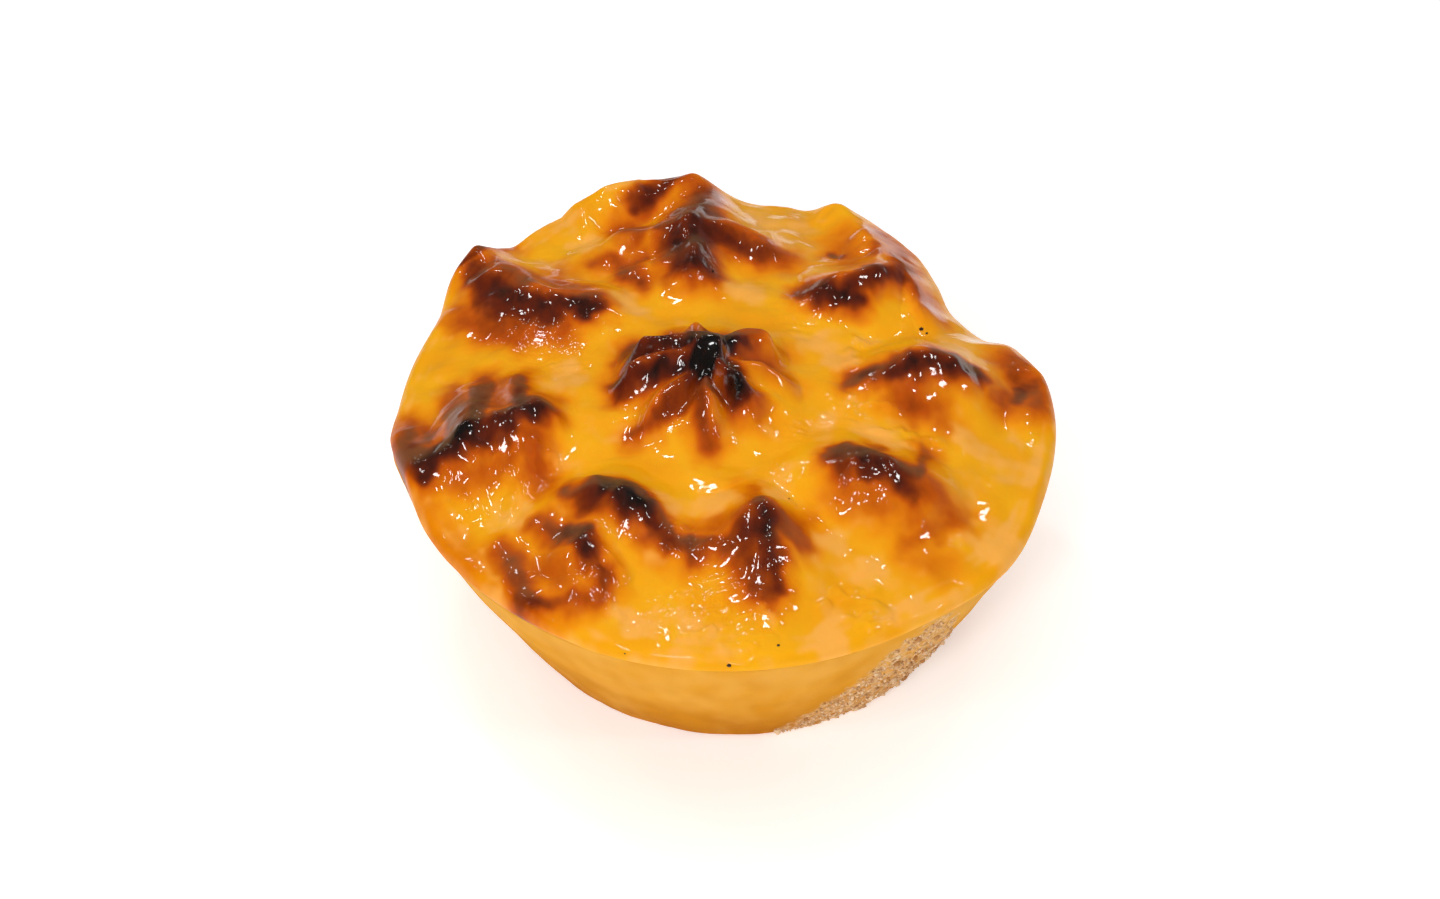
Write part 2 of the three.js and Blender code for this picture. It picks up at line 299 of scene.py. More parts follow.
# %% Crest lines of the shells
# A point is [radius, bearing in degrees, height above the dome]. The first line of a shell is its
# main crest, and the others are folds off it.
SHELLS = {
    "back": [
        [[18, 103, 1], [20.3, 102, 3.4], [23, 101, 3.3], [27.5, 99, 4.3], [33, 94, 3.6], [39.5, 97, 4.4]],
        [[27.8, 101, 2.8], [28.6, 107, 3.2], [29.5, 114, 2.6], [29, 124, 0.8]],
        [[27.3, 96, 2.8], [27.2, 90, 3.2], [26.8, 81, 2.4], [27, 71, 0.6]],
        [[21, 104, 2.4], [22.5, 118, 1.5], [23, 127, 0.4]],
    ],
    "back_right": [
        [[18, 63, 0.8], [20, 52, 3], [23, 48, 3.8], [30.5, 44, 3.4], [30, 35, 2.2], [30.5, 29, 0.6]],
        [[30.5, 47, 3], [36, 60, 2.6], [39.5, 68, 2.6]],
    ],
    "right": [
        [[14.5, 358, 0.6], [19, 4, 2.2], [23.5, 9, 3.8], [27, 9, 3.4], [31, 9, 1.4]],
        [[36, 18, 1.6], [38.5, 10, 1.8], [38.5, 0, 1]],
    ],
    "front_right": [
        [[18.8, 314, 3], [20.5, 318, 3.8], [24, 323, 3.7], [28, 326, 2.4], [32, 326, 0.7]],
    ],
    "front": [
        [[17, 281, 0.5], [22.5, 281, 3.6], [27.5, 281, 3], [31, 282, 1]],
        [[23, 280, 3.2], [24.5, 270, 2], [26, 262, 1.5], [25, 254, 1.8]],
        [[23, 283, 3.2], [25.5, 293, 0.5]],
    ],
    "front_left": [
        [[25, 231, 2], [23.8, 236, 3.6], [23.2, 241.5, 4.4], [23.5, 247, 3.3], [24.4, 252, 1.2]],
        [[24, 241, 3.4], [27, 239, 1.9], [30, 238.5, 2.9], [32.5, 244, 1.6], [36, 241, 1.3], [38, 235, 1]],
        [[24, 234, 3.2], [26, 224, 1.5], [29.5, 226, 1.2]],
        [[35, 223, 1.3], [36.5, 230, 1.4], [38, 235, 1]],
    ],
    "left": [
        [[20.5, 196, 1.8], [22.5, 195, 3.7], [26.5, 197, 3.1], [30.5, 195, 3.5], [35, 198, 3.2],
         [39, 197, 2.4]],
        [[26.5, 197, 3.2], [24.5, 181, 2.2]],
        [[30.5, 195, 3.2], [30, 180, 1.6]],
        [[39, 197, 2.4], [39.5, 188, 2.2]],
    ],
    "back_left": [
        [[18.5, 142, 1.2], [21, 141, 2.8], [25, 147, 3.1], [30, 147, 3.3], [36, 143, 3.7],
         [40.5, 142, 3.6]],
        [[35, 147, 3], [35, 153, 1.3], [36, 157, 0.4]],
        [[40, 136, 3], [40.5, 141, 4.2], [41, 146, 2.2]],
    ],
}
CREST = {"width": 7.2, "roundness": 1.5}
FOLD = {"width": 5.4, "roundness": 1.2}
FOLD_BLEND = 2.6
# Where the custard stands up along the edge, between the back and the back left shells
RIM_LINES = [
    [[39.5, 95, 3], [40, 106, 5], [40.5, 114, 4.9], [40.8, 121, 2], [41, 132, 1.6], [41, 142, 1.8]],
]
RIM = {"width": 7, "roundness": 2}
# The broad swell under each shell: [radius, bearing in degrees, reach, rise]
SWELLS = [
    [27, 99, 11, 1.2], [26, 46, 10, 1.4], [26, 8, 10, 1.3], [25, 322, 9.5, 1.4],
    [26, 280, 10, 1.2], [27, 238, 11, 1.4], [28, 196, 11, 1.4], [29, 145, 11, 1.2],
]


def placed(line, shape):
    """A crest whose points are x, y and height"""
    return {"points": [(*polar(radius, bearing), height) for radius, bearing, height in line], **shape}


shell_crests = [placed(line, CREST if i == 0 else FOLD)
                for lines in SHELLS.values() for i, line in enumerate(lines)]
shell_crests += [placed(line, RIM) for line in RIM_LINES]
print(len(SHELLS), "shells with", len(shell_crests), "crests and folds")

# %% [markdown]
# ## The star in the middle
#
# The star is one squeeze of the nozzle: a blunt crown in the middle and eight petals that run down
# from it. Its petals are melted with a high power, so that sharp valleys stay between them.

# %% Crest lines of the star
STAR = {"radius": 2.1, "bearing": 190, "rise": 2.6, "reach": 13.5, "peak": 5.4,
        "crown": 1.5, "crown_bearing": 10}
# A petal is [bearing in degrees, height at its start, shoulder radius, shoulder height, end radius, width]
STAR_PETALS = [
    [188, 4, 8, 3.8, 12, 3.4], [163, 4.6, 7.5, 5, 11, 3.4], [226, 2.8, 6.5, 2.7, 11.8, 2.1],
    [268, 2.2, 6, 2.7, 10.8, 2.2], [320, 3.8, 5.5, 4.2, 9.5, 3], [357, 2.6, 6.5, 2.8, 11.5, 3.2],
    [34, 4.2, 7.5, 4.2, 10.5, 3.6], [100, 3, 6, 3.2, 10, 3.6],
]
CROWN = {"width": 2.6, "roundness": 1.8}
PETAL_ROUNDNESS = 0.8
PETAL_START = 2.5
PETAL_BLEND = 5

star_x, star_y = polar(STAR["radius"], STAR["bearing"])


def from_star(radius, bearing, height):
    """A point of a crest that is placed from the star's middle"""
    x, y = polar(radius, bearing)
    return star_x + x, star_y + y, height


star_crests = [
    {"points": [from_star(PETAL_START, bearing, start), from_star(shoulder, bearing, height),
                from_star(end, bearing, 0)],
     "width": width, "roundness": PETAL_ROUNDNESS}
    for bearing, start, shoulder, height, end, width in STAR_PETALS]
star_crests.append({"points": [from_star(side * STAR["crown"], STAR["crown_bearing"], STAR["peak"])
                               for side in (-1, 1)], **CROWN})
print("star at", round(float(star_x), 1), round(float(star_y), 1), "with", len(STAR_PETALS), "petals")

# %% [markdown]
# ## Height of the top
#
# The parts come together as one height for each place on the top: the dome, the piped crests, the
# swells under them, less the notch. A hand never pipes a straight line, so the place that is looked
# up is first pushed about by a slow wobble of a millimetre or less.

# %% Height of the top
# The hand's wobble: [amplitude, wave in x, wave in y, phase], for x and for y
WOBBLE_X = [[0.56, 0.55, 0.31, 1.3], [0.3, -0.42, 0.83, 4.1], [0.1, 1.25, -0.7, 0.4]]
WOBBLE_Y = [[0.56, -0.36, 0.57, 2.6], [0.3, 0.88, 0.33, 0.7], [0.1, 0.62, 1.31, 5.2]]


def wobbled(x, y):
    """The place whose piping lands at x and y"""
    push = [sum(size * np.sin(kx * x + ky * y + phase) for size, kx, ky, phase in waves)
            for waves in (WOBBLE_X, WOBBLE_Y)]
    return x + push[0], y + push[1]


def along_line(x, y, start, end):
    """How far along a straight line each place lies, from 0 to 1, and how far off it"""
    (ax, ay), (bx, by) = start, end
    dx, dy = bx - ax, by - ay
    share = np.clip(((x - ax) * dx + (y - ay) * dy) / (dx * dx + dy * dy), 0, 1)
    return share, np.hypot(x - ax - share * dx, y - ay - share * dy)


def crest_rise(x, y, crest):
    """How high one crest stands at each place"""
    rise = np.zeros_like(x)
    for (*start, low), (*end, high) in zip(crest["points"], crest["points"][1:]):
        share, away = along_line(x, y, start, end)
        fall = (np.hypot(away, crest["roundness"]) - crest["roundness"]) / crest["width"]
        rise = np.maximum(rise, (low + (high - low) * share) * np.maximum(0, 1 - fall) ** 2)
    return rise


def melt(heights, power):
    """Several heights melted into one"""
    return sum(height ** power for height in heights) ** (1 / power)


def swell_height(x, y, centre, reach, rise):
    """A broad low swell round a centre"""
    share = ((x - centre[0]) ** 2 + (y - centre[1]) ** 2) / reach ** 2
    return rise * np.maximum(0, 1 - share) ** 2


def spotted(x, y, spots):
    """How much some round spots cover each place. A spot is [radius, bearing in degrees, reach]."""
    return sum(swell_height(x, y, polar(radius, bearing), reach, 1) for radius, bearing, reach in spots)


def piped_height(x, y):
    """Height of the piping above the dome"""
    px, py = wobbled(x, y)
    star = melt([crest_rise(px, py, crest) for crest in star_crests], PETAL_BLEND)
    piped = melt([crest_rise(px, py, crest) for crest in shell_crests] + [star], FOLD_BLEND)
    piped = piped + swell_height(x, y, (star_x, star_y), STAR["reach"], STAR["rise"])
    return piped + sum(swell_height(x, y, polar(radius, bearing), reach, rise)
                       for radius, bearing, reach, rise in SWELLS)


def top_height(radius, bearing):
    """Height of the custard's top, before the lip rolls it over the edge"""
    share = np.clip((radius - NOTCH["inner"]) / (NOTCH["outer"] - NOTCH["inner"]), 0, 1)
    notch = NOTCH["depth"] * bell(bearing_gap(bearing, NOTCH["bearing"]), NOTCH["spread"]) * share ** 2
    dome = DOME_RISE * (1 - (radius / EDGE_RADIUS) ** 2)
    return EDGE_HEIGHT + dome + piped_height(*polar(radius, bearing)) - notch


star_height = top_height(np.array([STAR["radius"]]), STAR["bearing"])[0]
print("the star stands", round(float(star_height), 1), "mm high")

# %% [markdown]
# ## Soft random noise
#
# Skin, wrinkles and browning are uneven in a way that no formula of sines gives without a visible
# beat. Gradient noise does: every corner of a grid gets a random slope, and the slopes are blended
# smoothly in between. The random slopes are drawn once from a fixed seed, so each run is alike.
# Every effect below reads a numbered layer of its own, so that no two of them line up.

# %% Gradient noise
NOISE_SIDE = 256
NOISE_SWING = 1.6  # brings the hills up to about 1
LAYER_SHIFT = (37.3, 91.7)  # how far apart the layers lie on the grid
slope_angles = np.random.default_rng(11).uniform(0, 2 * math.pi, (NOISE_SIDE, NOISE_SIDE))


def noise(u, v, layer=0):
    """Smooth random hills about one unit wide, from about -1 to 1. Each layer is different."""
    u = u + LAYER_SHIFT[0] * layer
    v = v + LAYER_SHIFT[1] * layer
    column, row = np.floor(u).astype(int), np.floor(v).astype(int)
    along, across = u - column, v - row
    ease_along, ease_across = (s ** 3 * (s * (6 * s - 15) + 10) for s in (along, across))

    def corner(i, j):
        angle = slope_angles[(column + i) % NOISE_SIDE, (row + j) % NOISE_SIDE]
        return np.cos(angle) * (along - i) + np.sin(angle) * (across - j)

    near = corner(0, 0) * (1 - ease_along) + corner(1, 0) * ease_along
    far = corner(0, 1) * (1 - ease_along) + corner(1, 1) * ease_along
    return NOISE_SWING * (near * (1 - ease_across) + far * ease_across)


def hills(u, v, layers):
    """Several layers of noise, each as [height, width along u, width along v, layer]"""
    return sum(height * noise(u / wide, v / long, layer) for height, wide, long, layer in layers)


def patchy(u, v, mean, layers):
    """An uneven share, from 0 to 1"""
    return np.clip(mean + hills(u, v, layers), 0, 1)


def smooth_step(value, start, end):
    """0 before start, 1 after end, and a smooth rise between them"""
    share = np.clip((value - start) / (end - start), 0, 1)
    return share * share * (3 - 2 * share)


print(NOISE_SIDE * NOISE_SIDE, "random slopes")

# %% [markdown]
# ## Fine relief
#
# Under the grill the custard's skin tightens, wrinkles and blisters. On the real one show soft dents
# a few millimetres wide, runnels that go down the front of a crest like folds in a cloth, ripples,
# blisters of less than a millimetre that come in patches, thin wrinkles where the glaze ran, and
# rough lumps where the skin has burnt. The backs of the shells are calmer. The sparkle of the glaze
# depends on this relief, because only slopes that mirror a lamp light up. So it is modelled in the
# mesh, and not only drawn as bump.

# %% Slopes and runnels
RUNNELS = [[2.4, 0.4], [1.1, 0.1]]  # [width in mm, height in mm]
RUNNEL_LENGTH = 7
RUNNEL_EASE = 0.8  # keeps the runnels low where a crest fades out


def turned(x, y, degrees):
    """x and y seen along an axis that is turned by some degrees"""
    cos, sin = math.cos(math.radians(degrees)), math.sin(math.radians(degrees))
    return x * cos + y * sin, y * cos - x * sin


def climb(x, y, step):
    """How steeply the piping climbs to the back, over a step of some mm: 1 is 45 degrees"""
    return (piped_height(x, y + step / 2) - piped_height(x, y - step / 2)) / step


def runnels(x, y):
    """Height of the runnels, which run down from each crest"""
    px, py = wobbled(x, y)
    total = np.zeros_like(x)
    weight = np.full_like(x, RUNNEL_EASE)
    for layer, crest in enumerate(shell_crests):
        (ax, ay, _), (bx, by, _) = crest["points"][0], crest["points"][-1]
        along, across = turned(px, py, math.degrees(math.atan2(by - ay, bx - ax)))
        rise = crest_rise(px, py, crest)
        for width, height in RUNNELS:
            total += rise * height * noise(along / width, across / RUNNEL_LENGTH, layer)
        weight += rise
    return total / weight


print(len(RUNNELS), "widths of runnels on", len(shell_crests), "crests")

# %% Wrinkles
# Where the glaze set in thin raised wrinkles:
# [radius, bearing in degrees, reach, heading in degrees, how many]
WRINKLED = [
    [29.5, 202, 6, -75, 12], [24.5, 206, 3, -60, 4], [32, 241, 3.5, -65, 5], [26, 262, 3.5, -10, 5],
    [33, 263, 4.5, -5, 9], [36, 273, 3, -5, 5], [34.5, 293, 3, 10, 5], [21, 346, 3, 15, 5],
    [23, 316, 3, 10, 4], [16, 28, 2.5, -50, 3],
]
WRINKLE = {"width": 0.7, "height": 0.42, "wander": 0.4, "waver": 1.3, "step": (0.9, 2.2), "turn": 40}
drift = np.random.default_rng(3)


def wrinkle_line(radius, bearing, reach, heading):
    """A line of a few points that starts in a patch and wanders about its heading"""
    line = [np.array(polar(radius, bearing)) + drift.uniform(-reach, reach, 2)]
    for _ in range(drift.integers(1, 4)):
        angle = math.radians(heading + drift.uniform(-WRINKLE["turn"], WRINKLE["turn"]))
        step = drift.uniform(*WRINKLE["step"])
        line.append(line[-1] + step * np.array([math.cos(angle), math.sin(angle)]))
    return line


wrinkle_lines = [wrinkle_line(*patch) for *patch, count in WRINKLED for _ in range(count)]


def wrinkles(x, y):
    """Height of the thin raised wrinkles"""
    wx, wy = (place + WRINKLE["wander"] * noise(x / WRINKLE["waver"], y / WRINKLE["waver"], layer)
              for place, layer in ((x, 106), (y, 107)))
    height = np.zeros_like(x)
    for line in wrinkle_lines:
        for start, end in zip(line, line[1:]):
            away = along_line(wx, wy, start, end)[1]
            height = np.maximum(height, WRINKLE["height"] * bell(away, WRINKLE["width"]))
    return height


print(len(wrinkle_lines), "wrinkles in the glaze")

# %% Blisters
BLISTERS = [[1.25, 0.13], [0.8, 0.08]]  # [spacing in mm, height in mm]
BLISTER_REACH = (0.35, 0.3)  # the least reach, and how much more, as shares of the spacing
BLISTER_DOME = 1.5  # the larger it is, the more pointed are the blisters
OTHER_DRAW = (83, 41)  # how far away in the table of random slopes a blister's second draw lies
BLISTER_MEAN = 0.75  # the mean share of a patch that is blistered
BLISTER_GAPS = [[0.9, 1.9, 1.9, 44]]
# Where the skin has blistered: [radius, bearing in degrees, reach]
BLISTERED = [
    [19.5, 102, 5], [18, 58, 5.5], [16.5, 357, 6], [21.5, 347, 4], [21.5, 314, 4], [27, 318, 5],
    [25.5, 325, 4], [12.5, 318, 4.5], [24.5, 282, 3.5], [30, 282, 4], [33.5, 281, 5], [26.5, 243, 4.5],
    [30.5, 243, 4], [34.5, 246, 4], [31, 262, 6], [34, 268, 5], [34, 257, 4],
    [21.5, 158, 5.5], [27, 158, 5.5], [18, 166, 5], [6, 300, 3.5],
    [10, 268, 3.5], [8.5, 225, 3], [11, 180, 3], [17, 275, 4], [35.5, 322, 5], [14.5, 52, 5],
    [14.5, 345, 5], [16.8, 296, 4],
]


def blisters(x, y, spacing):
    """Domed blisters of uneven size, one to each square of a loose grid"""
    column, row = np.floor(x / spacing).astype(int), np.floor(y / spacing).astype(int)
    height = np.zeros_like(x)
    for i in (-1, 0, 1):
        for j in (-1, 0, 1):
            own = slope_angles[(column + i) % NOISE_SIDE, (row + j) % NOISE_SIDE] / (2 * math.pi)
            other = slope_angles[(row + j + OTHER_DRAW[0]) % NOISE_SIDE,
                                 (column + i + OTHER_DRAW[1]) % NOISE_SIDE] / (2 * math.pi)
            away = np.hypot(x / spacing - column - i - own, y / spacing - row - j - other)
            reach = BLISTER_REACH[0] + BLISTER_REACH[1] * ((own + other) % 1)
            height = np.maximum(height, reach * np.maximum(0, 1 - (away / reach) ** 2) ** BLISTER_DOME)
    return height


def blistering(x, y):
    """How blistered the skin is, from 0 to 1"""
    return np.clip(spotted(x, y, BLISTERED), 0, 1) * patchy(x, y, BLISTER_MEAN, BLISTER_GAPS)


print(len(BLISTERED), "blistered patches")

# %% Relief of the skin
DENTS = [[7.0, 0.3], [3.2, 0.25]]  # [width in mm, height in mm]
RIPPLE = {"along": 2.2, "across": 0.8, "height": 0.1, "everywhere": 0.25}
CHAR = [[0.34, 2.4, 2.4, 58], [0.2, 1.3, 1.3, 61], [0.08, 0.6, 0.6, 64]]  # lumps of burnt skin
CHAR_BROWN = (0.62, 0.9)  # how brown the skin is where the char begins, and where it is full
CHAR_CALM = 0.7  # the share of the runnels that char hides
DENT_TURN = 37  # degrees that each layer is turned by, so that none lines up with the grid
RUNNEL_CLIMB = (0, 0.4)  # the runnels grow between these climbs, so they lie on fronts
BACK_CLIMB = (-0.48, -0.08)  # a slope is fully a back at the first climb, and none at the second
BACK_CALM = 0.1  # the share of the relief that is left on backs
EDGE_CALM = 0.8  # the relief fades out this close to the edge, where the lip is smooth


def spare_backs(climbs, least):
    """1, down to the least share on slopes that fall to the back"""
    return least + (1 - least) * smooth_step(climbs, *BACK_CLIMB)


def skin_relief(x, y, inwards, blistered, brown, climbs):
    """Height of the fine relief on the custard's top"""
    burnt = smooth_step(brown, *CHAR_BROWN)
    relief = runnels(x, y) * smooth_step(climbs, *RUNNEL_CLIMB) * (1 - CHAR_CALM * burnt)
    for layer, (width, height) in enumerate(DENTS):
        along, across = turned(x, y, DENT_TURN * (layer + 1))
        relief += height * noise(along / width, across / width, 50 + layer)
    relief += wrinkles(x, y)
    px, py = wobbled(x, y)
    rippled = RIPPLE["everywhere"] + (1 - RIPPLE["everywhere"]) * blistered
    relief += rippled * RIPPLE["height"] * noise(px / RIPPLE["along"], py / RIPPLE["across"], 57)
    for layer, (spacing, height) in enumerate(BLISTERS):
        along, across = turned(x, y, DENT_TURN * (layer + 5))
        relief += blistered * height * blisters(along, across, spacing)
    relief += burnt * hills(x, y, CHAR)
    return spare_backs(climbs, BACK_CALM) * relief * smooth_step(inwards, 0, EDGE_CALM)


print(len(DENTS), "widths of dents and", len(CHAR), "of char")

# %% [markdown]
# ## Browning
#
# A grill browns what stands nearest to it, so the crests are dark and the flat custard stays
# yellow. But it is never even: sugar from the glaze burns in streaks that run down from the crest,
# and one side of a shell catches more. Height alone would look like a contour map. So the browning
# is drawn as brush strokes, each a line with a strength at every point and a reach: a dark core
# with a fainter tail round it. They are melted together, pushed about by noise, and stored on the
# mesh for the material to read. The star and the lip have strokes too.

